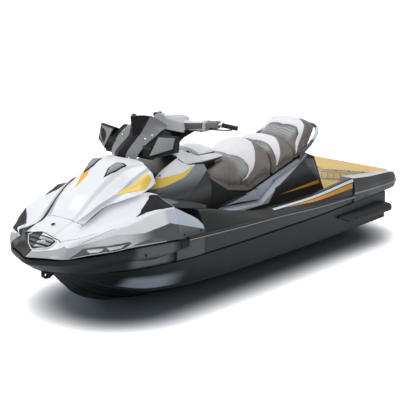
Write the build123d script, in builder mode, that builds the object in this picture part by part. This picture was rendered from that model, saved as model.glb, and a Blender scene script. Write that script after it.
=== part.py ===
from build123d import *
import os

os.makedirs("parts", exist_ok=True)

# Driving dimensions, in millimetres. The origin is amidships on the waterline, +X forward, +Y to port.
length = 3580.0  # stern to the front of the bow bumper
beam = 1195.0  # over the rub rails
height = 1272.0  # keel to the top of the windshield
draft = 260.0  # keel to the waterline at rest

# The offsets below were drawn at this size and stretch with the driving dimensions.
drawn_length = 3580.0
drawn_beam = 1195.0
drawn_height = 1272.0
along = length / drawn_length
across = beam / drawn_beam
upward = height / drawn_height

# Walls, clearances and fits.
shell = 14.0  # hatch moulding
shield_wall = 8.0  # windshield
mat_thick = 15.0  # deck mats
move_gap = 6.0  # between a moving piece and what it passes
pin_gap = 0.3  # round a hinge pin or a shaft
groove = 1.0  # between hinge ears and their lug

# Heights above the keel and distances from the stern, as drawn.
sheer = 385.0  # flat joint between the hull and the deck mouldings
transom = 200.0
bay_floor = 120.0
bay_aft = 950.0
bay_fore = 1850.0
bay_half = 220.0
pad_height = 50.0  # flat of the bottom that carries the ride plate and the grate
tunnel_fore = 520.0
deck_fore = 2450.0  # front end of the side decks
cowl_fore = 2700.0  # front end of the side cowls
hatch_fore = 3246.0
nose_aft = 3257.0


# Planes of the lines plan.
def station(s):
    # Cross-section at s forward of the stern: local x is to port, local y is up from the keel.
    return Plane(origin=(s * along - length / 2, 0, -draft), x_dir=(0, 1, 0), z_dir=(1, 0, 0))


def level(h):
    # Horizontal plane at h above the keel: local x is forward from the stern, local y is to port.
    return Plane(origin=(-length / 2, 0, h * upward - draft))


def buttock(y):
    # Upright fore-and-aft plane: local x is forward from the stern, local y is up from the keel.
    return Plane(origin=(-length / 2, y * across, -draft), x_dir=(1, 0, 0), z_dir=(0, -1, 0))


def spot(s, y, h):
    # A drawn point in the part's own frame.
    return Vector(s * along - length / 2, y * across, h * upward - draft)


def polygon(plane, points, wide, tall):
    with BuildSketch(plane) as sketch:
        with BuildLine():
            Polyline([(u * wide, v * tall) for u, v in points], close=True)
        make_face()
    return sketch.sketch


def mirrored(half):
    # Closes a port half outline, listed from the centreline or from its foot, over to starboard.
    return half + [(-y, h) for y, h in reversed(half) if y > 0]


def section_loft(table, mode=Mode.ADD):
    # Straight-sided body through cross-sections {station: [(y, h), ...]}.
    sections = [polygon(station(s), points, across, upward) for s, points in table.items()]
    loft(sections=sections, ruled=True, mode=mode)


def side_prism(points, y_from, y_to, mode=Mode.ADD):
    # Side-view outline [(s, h), ...] carried across from y_from to y_to.
    outline = polygon(buttock(y_from), points, along, upward)
    extrude(outline, amount=(y_to - y_from) * across, dir=(0, 1, 0), mode=mode)


def side_block(points_in, y_in, points_out, y_out, mode=Mode.ADD):
    # Straight-sided block between two side-view outlines with as many corners.
    ends = [(y_in, points_in), (y_out, points_out)]
    outlines = [polygon(buttock(y), points, along, upward) for y, points in ends]
    loft(sections=outlines, ruled=True, mode=mode)


def plan_prism(points, h_from, h_to, mode=Mode.ADD):
    # Plan outline [(s, y), ...] carried up from h_from to h_to.
    outline = polygon(level(h_from), points, along, across)
    extrude(outline, amount=(h_to - h_from) * upward, dir=(0, 0, 1), mode=mode)


def block(s_range, y_range, h_range, mode=Mode.ADD):
    (s0, s1), (y0, y1) = s_range, y_range
    plan_prism([(s0, y0), (s1, y0), (s1, y1), (s0, y1)], h_range[0], h_range[1], mode)


def cross_pin(s, h, y_from, y_to, radius, mode=Mode.ADD):
    # Cylinder along Y, its ends at y_from and y_to.
    with BuildSketch(buttock(y_from)) as disc:
        with Locations((s * along, h * upward)):
            Circle(radius)
    extrude(disc.sketch, amount=(y_to - y_from) * across, dir=(0, 1, 0), mode=mode)


def between(p, q, t):
    return (p[0] + (q[0] - p[0]) * t, p[1] + (q[1] - p[1]) * t)


# ---------------------------------------------------------------- hull
# Half sections from the keel to the sheer: keel, chine, sheer.
hull_lines = {
    200: [(0, 0), (480, 170), (490, sheer)],
    700: [(0, 0), (495, 170), (520, sheer)],
    1300: [(0, 0), (505, 170), (558, sheer)],
    2000: [(0, 0), (500, 170), (566, sheer)],
    2500: [(0, 3), (465, 170), (555, sheer)],
    2800: [(0, 30), (395, 178), (515, sheer)],
    3050: [(0, 105), (280, 232), (440, sheer)],
    3171: [(0, 180), (205, 282), (375, sheer)],
    3256: [(0, 265), (130, 326), (300, sheer)],
    3366: [(0, 376), (40, 380), (150, sheer)],
}
pump_height = 165.0
tunnel_half = 120.0  # the tunnel's and the duct's sides lie this far from the pump's centreline
duct_half = 85.0
tunnel_rise = 155.0  # tunnel roof above the pump's centreline
shaft_radius = 12.0
shaft_bore = shaft_radius + 6.0


def pump_plane():
    # Side-view plane with its local x axis on the pump's centreline.
    return Plane(origin=spot(0, 0, pump_height), x_dir=(1, 0, 0), z_dir=(0, -1, 0))


pump_axis = Axis(spot(0, 0, pump_height), (1, 0, 0))


def turned(points, mode=Mode.ADD):
    # Solid of revolution about the pump's centreline, from [(s, radius), ...].
    revolve(polygon(pump_plane(), points, along, 1.0), axis=pump_axis, mode=mode)


def pump_block(s_range, y_range, z_range, mode=Mode.ADD):
    # Box beside the pump: y and z are true distances from its centreline.
    y_drawn = [y / across for y in y_range]
    h_drawn = [pump_height + z / upward for z in z_range]
    block(s_range, y_drawn, h_drawn, mode)


with BuildPart() as hull:
    section_loft({s: mirrored(half) for s, half in hull_lines.items()})
    block((-20, 940), (-165, 165), (-20, pad_height), Mode.SUBTRACT)
    tunnel_foot = (pad_height - 5 - pump_height) * upward
    pump_block((-20, tunnel_fore), (-tunnel_half, tunnel_half), (tunnel_foot, tunnel_rise), Mode.SUBTRACT)
    duct = [(tunnel_fore - 5, 80), (tunnel_fore - 5, 250), (640, 250), (905, 45), (905, 30), (600, 30)]
    side_prism(duct, -duct_half / across, duct_half / across, Mode.SUBTRACT)
    turned([(500, 0), (bay_aft + 10, 0), (bay_aft + 10, shaft_bore), (500, shaft_bore)], Mode.SUBTRACT)
    block((bay_aft, bay_fore), (-bay_half, bay_half), (bay_floor, sheer + 20), Mode.SUBTRACT)

# ---------------------------------------------------------------- engine: one plain mass
engine_aft = 1020.0
engine_fore = 1760.0
engine_half = 185.0
engine_top = 545.0
with BuildPart() as engine:
    block((engine_aft, engine_fore), (-engine_half, engine_half), (bay_floor, engine_top))

# ---------------------------------------------------------------- bow bumper
bumper_outer = [(2630, 575), (2900, 530), (3100, 482), (3300, 385), (3475, 250), (3565, 0)]
bumper_inner = [(2630, 533), (2880, 478), (3065, 425), (3240, 335), (3385, 220), (3450, 0)]
bumper_top = [525, 535, 540, 520, 503, 487]
bumper_foot = [470, 433, 450, 425, 400, 392]
bumper_lip = 30.0  # upright band under the top edge, above the undercut
bumper_keep = [0.8, 0.6, 0.45, 0.3, 0.22, 0.18]  # how much of the width is left at the foot


def bumper_section(side, i):
    # Upright section square across the bumper: local x is outboard, local y is up.
    (s_out, y_out), (s_in, y_in) = bumper_outer[i], bumper_inner[i]
    root = spot(s_in, side * y_in, 0)
    outboard = spot(s_out, side * y_out, 0) - root
    plane = Plane(origin=root, x_dir=outboard, z_dir=outboard.cross(Vector(0, 0, 1)))
    reach, foot, top = outboard.length, bumper_foot[i], bumper_top[i]
    tucked = [(0, foot), (reach * bumper_keep[i], foot), (reach, top - bumper_lip), (reach, top), (0, top)]
    return polygon(plane, tucked, 1.0, upward)


with BuildPart() as bow_bumper:
    port = [bumper_section(1, i) for i in range(6)]
    starboard = [bumper_section(-1, i) for i in range(4, -1, -1)]
    loft(sections=port + starboard, ruled=True)

# ---------------------------------------------------------------- bow deck under the hatch
storage_half = 175.0
storage_floor = 440.0
hinge_s = 3262.0
hinge_h = 640.0
hinge_pin = 6.0
hinge_barrel = 12.0
hinge_y = 65.0
recess_floor = 606.0
recess_fore = 3284.0
recess_half = 95.0
# Half sections: foot and eave inside the bumper, eave over its top, fender crown, hollow of the
# shelf, its edge beside the hatch, centre.
deck_lines = {
    2700: [(505, 490), (505, 536), (540, 536), (497, 741), (420, 758), (345, 800), (0, 800)],
    2800: [(482, 490), (482, 540), (528, 540), (492, 743), (408, 764), (325, 828), (0, 828)],
    2920: [(454, 490), (454, 545), (508, 545), (480, 726), (382, 736), (287, 802), (0, 802)],
    3060: [(412, 490), (412, 548), (476, 548), (452, 690), (330, 690), (222, 764), (0, 764)],
    3257: [(304, 490), (304, 534), (388, 534), (369, 649), (262, 616), (178, 640), (0, 640)],
    3385: [(200, 490), (200, 522), (296, 522), (284, 618), (205, 578), (140, 560), (0, 560)],
}
with BuildPart() as bow_deck:
    section_loft({s: mirrored(half) for s, half in deck_lines.items()})
    corner_y = between(bumper_inner[0], bumper_inner[1], 0.28)[1]  # where the bumper passes cowl_fore
    foot = [(cowl_fore, -corner_y), (cowl_fore, corner_y)] + bumper_inner[1:]
    foot += [(s, -y) for s, y in reversed(bumper_inner[1:-1])]
    plan_prism(foot, sheer, 500)
    block((2740, 3120), (-storage_half, storage_half), (storage_floor, 900), Mode.SUBTRACT)
    block((3170, nose_aft), (-190, 190), (recess_floor, 720), Mode.SUBTRACT)
    block((3170, recess_fore), (-recess_half, recess_half), (recess_floor, 720), Mode.SUBTRACT)
    # Hinge lugs and pins for the hatch stand in the recess, which runs on under the nose panel.
    for y in (-hinge_y, hinge_y):
        side_prism([(3252, 600), (3272, 600), (3270, 648), (3254, 648)], y - 5, y + 5)
        cross_pin(hinge_s, hinge_h, y - 16, y + 16, hinge_pin)

# ---------------------------------------------------------------- nose panel and its vents
with BuildPart() as nose_panel:
    section_loft(
        {
            nose_aft: mirrored([(172, 618), (160, 670), (0, 690)]),
            3340: mirrored([(150, 520), (138, 622), (0, 652)]),
            3446: mirrored([(112, 503), (100, 560), (0, 585)]),
        }
    )
    block((3200, recess_fore), (-recess_half, recess_half), (600, 666), Mode.SUBTRACT)
    add(bow_deck.part, mode=Mode.SUBTRACT)
    add(bow_bumper.part, mode=Mode.SUBTRACT)

vent_s = 3446.0
vent_proud = 8.0
vent_top = [(-84, 556), (0, 570), (84, 556), (84, 546), (0, 560), (-84, 546)]
vent_post = [(-6, 500), (6, 500), (6, 566), (-6, 566)]
with BuildPart() as nose_grille:
    bars = [[(y * (1 - drop / 100), h - drop) for y, h in vent_top] for drop in (0, 20, 40)]
    for bar in bars + [vent_post]:
        extrude(polygon(station(vent_s), bar, across, upward), amount=vent_proud, dir=(1, 0, 0))
    add(bow_bumper.part, mode=Mode.SUBTRACT)

# ---------------------------------------------------------------- bow lamps, on the faceted cheeks
lamp_low, lamp_high, lamp_proud = 0.12, 0.72, 14.0


def lamp_section(s):
    edge, crown = deck_lines[s][2], deck_lines[s][3]
    low, high = between(edge, crown, lamp_low), between(edge, crown, lamp_high)
    return [low, (low[0] + lamp_proud, low[1]), (high[0] + lamp_proud, high[1]), high]


with BuildPart() as bow_lamps:
    section_loft({s: lamp_section(s) for s in (3060, 3257, 3385)})
    mirror(about=Plane.XZ)
    add(bow_deck.part, mode=Mode.SUBTRACT)
    add(bow_bumper.part, mode=Mode.SUBTRACT)

# ---------------------------------------------------------------- side decks (gunwales) and side cowls
# Port sections: foot inside, foot outside, rail band below and above, top outside, top inside.
side_lines = {
    690: [(440, sheer), (520, sheer), (530, 422), (530, 454), (520, 578), (474, 578)],
    1300: [(440, sheer), (558, sheer), (566, 452), (566, 484), (512, 532), (466, 532)],
    1690: [(440, sheer), (563, sheer), (577, 478), (577, 510), (500, 528), (454, 528)],
    2024: [(440, sheer), (566, sheer), (576, 488), (576, 520), (500, 580), (454, 580)],
    2352: [(440, sheer), (560, sheer), (571, 500), (571, 532), (500, 661), (454, 661)],
    deck_fore: [(440, sheer), (556, sheer), (567, 503), (567, 535), (502, 676), (454, 676)],
}
with BuildPart() as side_decks:
    section_loft(side_lines)
    mirror(about=Plane.XZ)

cowl_lines = {
    deck_fore: [(440, sheer), (556, sheer), (567, 503), (567, 535), (545, 572), (454, 572)],
    2500: [(440, sheer), (554, sheer), (564, 505), (564, 537), (535, 628), (446, 628)],
    2630: [(434, sheer), (544, sheer), (556, 508), (556, 540), (511, 702), (430, 702)],
    cowl_fore: [(430, sheer), (530, sheer), (540, 510), (540, 542), (497, 741), (428, 741)],
}
with BuildPart() as side_cowls:
    section_loft(cowl_lines)
    mirror(about=Plane.XZ)
    add(bow_bumper.part, mode=Mode.SUBTRACT)

# ---------------------------------------------------------------- rub rails along the widest line
rail_wide = 20.0
rail_tall = 30.0
# Inner edge and height of the rail at each station.
rail_lines = {
    690: (530, 438),
    1300: (566, 468),
    1690: (577, 494),
    2024: (576, 504),
    2352: (571, 516),
    2630: (556, 524),
}


def rail_section(edge, h):
    out = edge + rail_wide / across
    foot, top = h - rail_tall / 2, h + rail_tall / 2
    return [(edge, foot), (out, h - rail_tall / 3), (out, h + rail_tall / 3), (edge, top)]


with BuildPart() as rub_rails:
    section_loft({s: rail_section(*line) for s, line in rail_lines.items()})
    mirror(about=Plane.XZ)
    add(side_decks.part, mode=Mode.SUBTRACT)
    add(side_cowls.part, mode=Mode.SUBTRACT)

# ---------------------------------------------------------------- stern platform and corners
platform_top = 505.0
step_floor = 425.0
platform_half = 400.0
step_line = [(275, 230), (385, 0), (275, -230)]
with BuildPart() as rear_platform:
    block((15, 690), (-platform_half, platform_half), (sheer, step_floor))
    upper = [(15, -platform_half), (200, -platform_half)] + list(reversed(step_line))
    plan_prism(upper + [(200, platform_half), (15, platform_half)], step_floor, platform_top)

with BuildPart() as stern_corners:
    section_loft(
        {
            -15: [(platform_half, 420), (440, 412), (458, 429), (446, 470), (platform_half, 478)],
            50: [(platform_half, sheer), (478, sheer), (486, 432), (458, 512), (platform_half, 512)],
            500: [(platform_half, sheer), (520, sheer), (532, 452), (516, 556), (platform_half, 556)],
            690: [(platform_half, sheer), (530, sheer), (540, 466), (522, 578), (platform_half, 578)],
        }
    )
    mirror(about=Plane.XZ)

# ---------------------------------------------------------------- seat pedestal and its side covers
pedestal_half = 245.0
pedestal_aft = 690.0
# Line under the seats, from the console aft.
seat_line = [(2050, 780), (1840, 648), (1600, 600), (940, 784), (830, 740)]


def seat_foot(s):
    # Height of the line under the seats at s.
    for (s_fore, h_fore), (s_aft, h_aft) in zip(seat_line, seat_line[1:]):
        if s_aft <= s <= s_fore:
            return h_aft + (h_fore - h_aft) * (s - s_aft) / (s_fore - s_aft)
    return seat_line[-1][1]


with BuildPart() as seat_pedestal:
    side_view = [(2050, sheer)] + seat_line + [(pedestal_aft, 440), (pedestal_aft, sheer)]
    side_prism(side_view, -pedestal_half, pedestal_half)
    block((bay_aft, bay_fore), (15 - bay_half, bay_half - 15), (sheer - 5, 560), Mode.SUBTRACT)

panel_out = 300.0
with BuildPart() as pedestal_panels:
    inside = [(1960, 400), (1960, 548), (1530, 520), (1325, 652), (960, 750), (838, 722)]
    inside += [(700, 440), (700, 400)]
    outside = [(1940, 400), (1940, 520), (1535, 500), (1320, 610), (980, 690), (870, 660)]
    outside += [(740, 440), (740, 400)]
    side_block(inside, pedestal_half, outside, panel_out)
    mirror(about=Plane.XZ)

trim_out = 268.0
with BuildPart() as seat_trims:
    swoosh = [(1960, 560), (1530, 528), (1330, 660), (980, 758), (945, 780), (1598, 598)]
    side_prism(swoosh, pedestal_half, trim_out)
    mirror(about=Plane.XZ)

# ---------------------------------------------------------------- console with the glovebox tub
column_lean = 30.0  # degrees aft of upright
column_s = 2165.0
column_h = 1100.0
stem_radius = 30.0
glove_aft = 1872.0
glove_fore = 2040.0
glove_half = 130.0
glove_wall = 20.0
glove_floor = 800.0
glove_top = 930.0
lid_hinge_s = 2066.0
lid_hinge_h = 946.0
lid_pin = 4.0
lid_barrel = 9.0


def column_plane(reach):
    # Plane square to the steering column, reach above the column's head along it.
    tilt = Vector(0, 0, 1).rotate(Axis.Y, -column_lean)
    return Plane(origin=spot(column_s, 0, column_h) + tilt * reach, x_dir=(0, 1, 0), z_dir=tilt)


with BuildPart() as console:
    section_loft(
        {
            2050: mirrored([(250, sheer), (255, 740), (215, 840), (150, 915), (0, 930)]),
            2216: mirrored([(270, sheer), (275, 742), (230, 850), (120, 950), (0, 960)]),
            2515: mirrored([(282, sheer), (292, 728), (272, 800), (200, 880), (0, 890)]),
            2640: mirrored([(284, sheer), (294, 690), (284, 771), (190, 800), (0, 810)]),
        }
    )
    tail = [(2050, 780), (2050, glove_top), (glove_aft, glove_top), (glove_aft, seat_foot(glove_aft))]
    side_prism(tail, -glove_half, glove_half)
    tub_half = glove_half - glove_wall
    tub = (glove_aft + glove_wall, glove_fore - glove_wall), (-tub_half, tub_half)
    block(*tub, (glove_floor, 1000), Mode.SUBTRACT)
    block((2036, 2086), (-60, 60), (glove_top - 4, 980), Mode.SUBTRACT)
    for y in (-45, 45):
        side_prism([(2056, 920), (2076, 920), (2072, 953), (2060, 953)], y - 5, y + 5)
        cross_pin(lid_hinge_s, lid_hinge_h, y - 14, y + 14, lid_pin)
    with BuildSketch(column_plane(-330)) as bore:
        Circle(stem_radius + pin_gap)
    extrude(bore.sketch, amount=330, mode=Mode.SUBTRACT)

with BuildPart() as glovebox_lid:
    section_loft(
        {
            glove_aft: mirrored([(128, glove_top + move_gap), (124, 946), (70, 962), (0, 966)]),
            1960: mirrored([(134, glove_top + move_gap), (128, 954), (74, 974), (0, 980)]),
            2050: mirrored([(134, glove_top + move_gap), (128, 950), (70, 966), (0, 972)]),
        }
    )
    for side in (-1, 1):
        for y in (45 - 5 - groove - 8, 45 + 5 + groove):
            near, far = sorted((side * y, side * (y + 8)))
            side_prism([(2046, 937), (2066, 938), (2072, 950), (2046, 962)], near, far)
            cross_pin(lid_hinge_s, lid_hinge_h, near, far, lid_barrel)
            cross_pin(lid_hinge_s, lid_hinge_h, near - 1, far + 1, lid_pin + pin_gap, Mode.SUBTRACT)

# ---------------------------------------------------------------- covers over the front of the footwells
with BuildPart() as footwell_covers:
    section_loft(
        {
            2290: [(276, 640), (424, 640), (420, 668), (276, 668)],
            2550: [(290, 706), (424, 700), (415, 735), (290, 742)],
            cowl_fore: [(296, 745), (410, 745), (400, 775), (296, 780)],
        }
    )
    mirror(about=Plane.XZ)
    add(console.part, mode=Mode.SUBTRACT)
    add(side_cowls.part, mode=Mode.SUBTRACT)

# ---------------------------------------------------------------- deck mats
well_floor = sheer
with BuildPart() as deck_mats:
    plan_prism([(720, 310), (2300, 300), (2300, 430), (720, 430)], well_floor, well_floor + mat_thick)
    mirror(about=Plane.XZ)
    upper_mat = [(25, -390), (190, -390), (262, -222), (366, 0), (262, 222), (190, 390), (25, 390)]
    plan_prism(upper_mat, platform_top, platform_top + mat_thick)
    lower_mat = [(420, 0), (300, 240), (300, 380), (650, 380), (650, -380), (300, -380), (300, -240)]
    plan_prism(lower_mat, step_floor, step_floor + mat_thick)

# ---------------------------------------------------------------- seats
seat_half = 255.0


def seat_section(s, top, foot=None, wide=1.0):
    foot = seat_foot(s) if foot is None else foot
    belly = foot + (top - foot) * 0.35
    shoulder = min(45, (top - foot) * 0.45)
    half = [(240, foot), (seat_half, belly), (215, top - shoulder), (120, top - 8), (0, top)]
    return mirrored([(y * wide, h) for y, h in half])


with BuildPart() as seat_rider:
    rider = {2040: 850, 1840: 890, 1700: 885, 1600: 905, 1500: 948, 1440: 956, 1380: 940, 1330: 905}
    section_loft({s: seat_section(s, top) for s, top in rider.items()})
    block((glove_aft - 1, 2100), (-glove_half - 6, glove_half + 6), (600, 1000), Mode.SUBTRACT)

with BuildPart() as seat_middle:
    middle = {1330: 905, 1240: 930, 1170: 942, 1110: 930, 1060: 900}
    section_loft({s: seat_section(s, top) for s, top in middle.items()})

with BuildPart() as seat_rear:
    section_loft(
        {
            1060: seat_section(1060, 900),
            940: seat_section(940, 940),
            880: seat_section(880, 985, 850, 0.98),
            800: seat_section(800, 1022, 925, 0.92),
            735: seat_section(735, 1010, 965, 0.82),
        }
    )

# ---------------------------------------------------------------- grab rail round the back of the rear seat
grab_radius = 13.0
with BuildPart() as grab_rail:
    corners = [(938, 271, 690), (905, 271, 800), (705, 238, 925), (672, 175, 975)]
    corners += [(s, -y, h) for s, y, h in reversed(corners)]
    with BuildLine() as hoop:
        FilletPolyline([spot(*corner) for corner in corners], radius=40)
    with BuildSketch(Plane(origin=hoop.line @ 0, z_dir=hoop.line % 0)):
        Circle(grab_radius)
    sweep(path=hoop.line)
    add(pedestal_panels.part, mode=Mode.SUBTRACT)
    add(seat_trims.part, mode=Mode.SUBTRACT)

# ---------------------------------------------------------------- sponsons on the aft chines
with BuildPart() as sponsons:
    inner = [(941, 321), (716, 232), (209, 232), (236, 312), (880, 330)]
    outer = [(900, 315), (700, 240), (215, 240), (240, 300), (860, 320)]
    side_block(inner, 470, outer, 562)
    mirror(about=Plane.XZ)
    add(hull.part, mode=Mode.SUBTRACT)

# ---------------------------------------------------------------- eyes and fittings
eye_hole = 11.0
eye_half = 7.0
with BuildPart() as bow_eye:
    eye_outline = [(3300, sheer), (3424, sheer), (3424, 338), (3402, 318), (3362, 312), (3330, 330)]
    side_prism(eye_outline, -eye_half, eye_half)
    cross_pin(3393, 342, -eye_half - 1, eye_half + 1, eye_hole, Mode.SUBTRACT)
    add(hull.part, mode=Mode.SUBTRACT)

stern_eye_y = 400.0
stern_eye_h = 310.0
step_hinge_s = 165.0
step_hinge_h = 170.0
step_pin = 6.0
step_sides = (205.0, 355.0)
step_lug = 8.0
step_rail = 9.0
with BuildPart() as stern_fittings:
    eye_tab = [(transom, 285), (transom, 335), (160, 335), (150, 310), (160, 285)]
    for y in (-stern_eye_y, stern_eye_y):
        side_prism(eye_tab, y - eye_half, y + eye_half)
        cross_pin(172, stern_eye_h, y - eye_half - 1, y + eye_half + 1, eye_hole, Mode.SUBTRACT)
    lug = [(transom, 148), (transom, 192), (155, 184), (153, 156)]
    for y, inward in zip(step_sides, (1, -1)):
        side_prism(lug, y - step_lug / 2, y + step_lug / 2)
        near, far = sorted((y - 6 * inward, y + 24 * inward))
        cross_pin(step_hinge_s, step_hinge_h, near, far, step_pin)

with BuildPart() as boarding_step:
    inset = step_lug / 2 + groove + step_rail / across
    inner_y, outer_y = step_sides[0] + inset, step_sides[1] - inset
    corners = [(step_hinge_s, inner_y, 168), (163, inner_y, 352)]
    corners += [(163, outer_y, 352), (step_hinge_s, outer_y, 168)]
    with BuildLine() as bar:
        FilletPolyline([spot(*corner) for corner in corners], radius=25)
    with BuildSketch(Plane(origin=bar.line @ 0, z_dir=bar.line % 0)):
        Circle(step_rail)
    sweep(path=bar.line)
    for y in (inner_y, outer_y):
        cross_pin(step_hinge_s, step_hinge_h, y - 5, y + 5, step_pin + 8)
        cross_pin(step_hinge_s, step_hinge_h, y - 16, y + 16, step_pin + pin_gap, Mode.SUBTRACT)

# ---------------------------------------------------------------- jet pump
plate_thick = 12.0
with BuildPart() as ride_plate:
    block((30, 545), (-138, 138), (pad_height - plate_thick, pad_height))

with BuildPart() as intake_grate:
    block((585, 925), (-110, 110), (pad_height - plate_thick, pad_height))
    for y in (-60, -30, 0, 30, 60):
        block((610, 895), (y - 11, y + 11), (pad_height - 20, pad_height + 10), Mode.SUBTRACT)

case_radius = 88.0
case_bore = 80.0
impeller_radius = 74.0
hub_radius = 28.0
nozzle_pivot_s = 178.0
nozzle_pin = 6.0
bucket_pivot_s = 185.0
bucket_pin = 8.0
bucket_in = 138.0
bucket_out = 146.0
bucket_half = 108.0
bucket_cheek = 8.0
arm_half = 14.0
with BuildPart() as pump_housing:
    turned([(500, case_bore), (500, 108), (tunnel_fore - 5, 108), (tunnel_fore - 5, case_bore)])
    casing = [(500, case_bore), (500, case_radius), (262, case_radius), (214, 53), (182, 50)]
    turned(casing + [(182, 43), (214, 46), (262, case_bore)])
    turned([(325, 0), (325, 30), (262, 30), (235, 12), (235, 0)])
    for turn in range(6):
        with Locations(Location(spot(293, 0, pump_height), (60 * turn, 0, 0))):
            Box(55, 5, case_bore + 4, align=(Align.CENTER, Align.CENTER, Align.MIN))
    turned([(286, 0), (330, 0), (330, shaft_radius + pin_gap), (286, shaft_radius + pin_gap)], Mode.SUBTRACT)
    for side in (-1, 1):
        pump_block((158, 275), (-arm_half, arm_half), sorted((side * 81.0, side * 93.0)))
        pump_block((165, 275), sorted((side * 86.0, side * 94.0)), (-arm_half, arm_half))
        near, far = sorted((side * 92.0 / across, side * 112.0 / across))
        cross_pin(bucket_pivot_s, pump_height, near, far, bucket_pin)
    with BuildSketch(level(pump_height - 95 / upward)) as pivot_bore:
        with Locations((nozzle_pivot_s * along, 0)):
            Circle(nozzle_pin + pin_gap)
    extrude(pivot_bore.sketch, amount=16, mode=Mode.SUBTRACT)
    extrude(pivot_bore.sketch.moved(Location((0, 0, 174))), amount=16, mode=Mode.SUBTRACT)

with BuildPart() as impeller:
    for turn in range(3):
        with Locations(Location(spot(390, 0, pump_height), (120 * turn, 0, 0))):
            with Locations(Location((0, 0, 50), (0, 0, 38))):
                Box(110, 6, 70)
    turned([(340, 0), (440, 0), (440, impeller_radius), (340, impeller_radius)], Mode.INTERSECT)
    turned([(340, 0), (460, 0), (440, hub_radius), (340, hub_radius)])
    turned([(288, 0), (engine_aft - pin_gap, 0), (engine_aft - pin_gap, shaft_radius), (288, shaft_radius)])

with BuildPart() as steering_nozzle:
    turned([(190, 67), (190, 75), (70, 57), (70, 49)])
    for low in (-92, 70):
        with BuildSketch(level(pump_height + low / upward)) as trunnion:
            with Locations((nozzle_pivot_s * along, 0)):
                Circle(nozzle_pin)
        extrude(trunnion.sketch, amount=22)


def bucket_plane(y):
    # Side-view plane centred on the bucket's pivot: local x is aft, local y is up.
    pivot = spot(bucket_pivot_s, 0, pump_height) + Vector(0, y, 0)
    return Plane(origin=pivot, x_dir=(-1, 0, 0), z_dir=(0, 1, 0))


bucket_wedge = [(0, 0), (346, 200), (35, 398)]  # the scoop spans 30 to 85 degrees above straight aft
with BuildPart() as reverse_bucket:
    with BuildSketch(bucket_plane(-bucket_half)):
        Circle(bucket_out)
        Circle(bucket_in, mode=Mode.SUBTRACT)
        with BuildLine():
            Polyline(bucket_wedge, close=True)
        make_face(mode=Mode.INTERSECT)
    extrude(amount=2 * bucket_half)
    for y in (-bucket_half, bucket_half - bucket_cheek):
        with BuildSketch(bucket_plane(y)):
            Circle(bucket_out)
            with BuildLine():
                Polyline(bucket_wedge, close=True)
            make_face(mode=Mode.INTERSECT)
            Circle(bucket_pin + 10)
            Circle(bucket_pin + pin_gap, mode=Mode.SUBTRACT)
        extrude(amount=bucket_cheek)

# ---------------------------------------------------------------- hatch and what it carries
# Half sections of the hood: foot, facet edge, crease, centre.
hood_lines = {
    2660: [(298, 868), (272, 930), (185, 985), (0, 1020)],
    2800: [(320, 834), (235, 900), (140, 985), (0, 1005)],
    2920: [(285, 808), (212, 850), (125, 930), (0, 945)],
    3060: [(222, 770), (192, 790), (110, 835), (0, 850)],
    hatch_fore: [(172, 652), (150, 668), (90, 686), (0, 694)],
}


def hood_section(half):
    # The moulding's outer line and, a wall inside it, its inner line.
    (y0, h0), (y1, h1), (y2, h2), (y3, h3) = half
    wall = shell / upward
    inner = [(y0 - wall, h0), (y1 - wall, h1 - wall / 2), (y2 - wall / 2, h2 - wall), (y3, h3 - wall)]
    outer_line = half + [(-y, h) for y, h in reversed(half[:-1])]
    inner_line = inner + [(-y, h) for y, h in reversed(inner[:-1])]
    return outer_line + list(reversed(inner_line))


# Hinge arms dip under the nose and rise to the hood, so that the hood's lip lifts over the nose.
gooseneck = [(3262, 630), (3262, 650), (3244, 643), (3212, 672)]
gooseneck += [(3206, 712), (3190, 718), (3196, 664), (3240, 624)]
with BuildPart() as front_hatch:
    section_loft({s: hood_section(half) for s, half in hood_lines.items()})
    side_prism([(hatch_fore, 702), (3177, 642), (3260, 642), (3260, 702)], -250, 250, Mode.SUBTRACT)
    for side in (-1, 1):
        for y in (hinge_y - 5 - groove - 8, hinge_y + 5 + groove):
            near, far = sorted((side * y, side * (y + 8)))
            side_prism(gooseneck, near, far)
            cross_pin(hinge_s, hinge_h, near, far, hinge_barrel)
            cross_pin(hinge_s, hinge_h, near - 1, far + 1, hinge_pin + pin_gap, Mode.SUBTRACT)

scoop_from, scoop_to = 0.35, 0.75


def scoop_section(s, rise):
    crease, centre = hood_lines[s][2], hood_lines[s][3]
    low, high = between(crease, centre, 1 - scoop_to), between(crease, centre, 1 - scoop_from)
    return [low, high, (high[0], high[1] + rise * 0.7), (low[0], low[1] + rise)]


with BuildPart() as hood_scoops:
    section_loft({2800: scoop_section(2800, 26), 2920: scoop_section(2920, 4)})
    mirror(about=Plane.XZ)

# Windshield: level sections {height: (centre s, edge s, half width)}.
shield_lines = {
    985: (2738, 2664, 112),
    1030: (2720, 2650, 122),
    1127: (2612, 2578, 150),
    1219: (2505, 2405, 168),
    1272: (2450, 2418, 104),
}


def shield_section(h):
    middle, edge, half = shield_lines[h]
    wall = shield_wall / along
    front = [(edge, -half), (middle, 0), (edge, half)]
    back = [(s - wall, y) for s, y in reversed(front)]
    return polygon(level(h), front + back, along, across)


with BuildPart() as windshield:
    loft(sections=[shield_section(h) for h in shield_lines], ruled=True)
    section_loft({s: mirrored(half) for s, half in hood_lines.items()}, Mode.SUBTRACT)

pod_half = 213.0
with BuildPart() as instrument_pod:
    pod = [(2628, 1012), (2614, 1085), (2436, 1176), (2404, 1148), (2450, 1040), (2600, 1000)]
    side_prism(pod, -pod_half, pod_half)
    side_prism([(2720, 970), (2720, 998), (2660, 1005), (2600, 1020), (2600, 990)], -60, 60)
    add(front_hatch.part, mode=Mode.SUBTRACT)
    add(windshield.part, mode=Mode.SUBTRACT)

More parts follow.
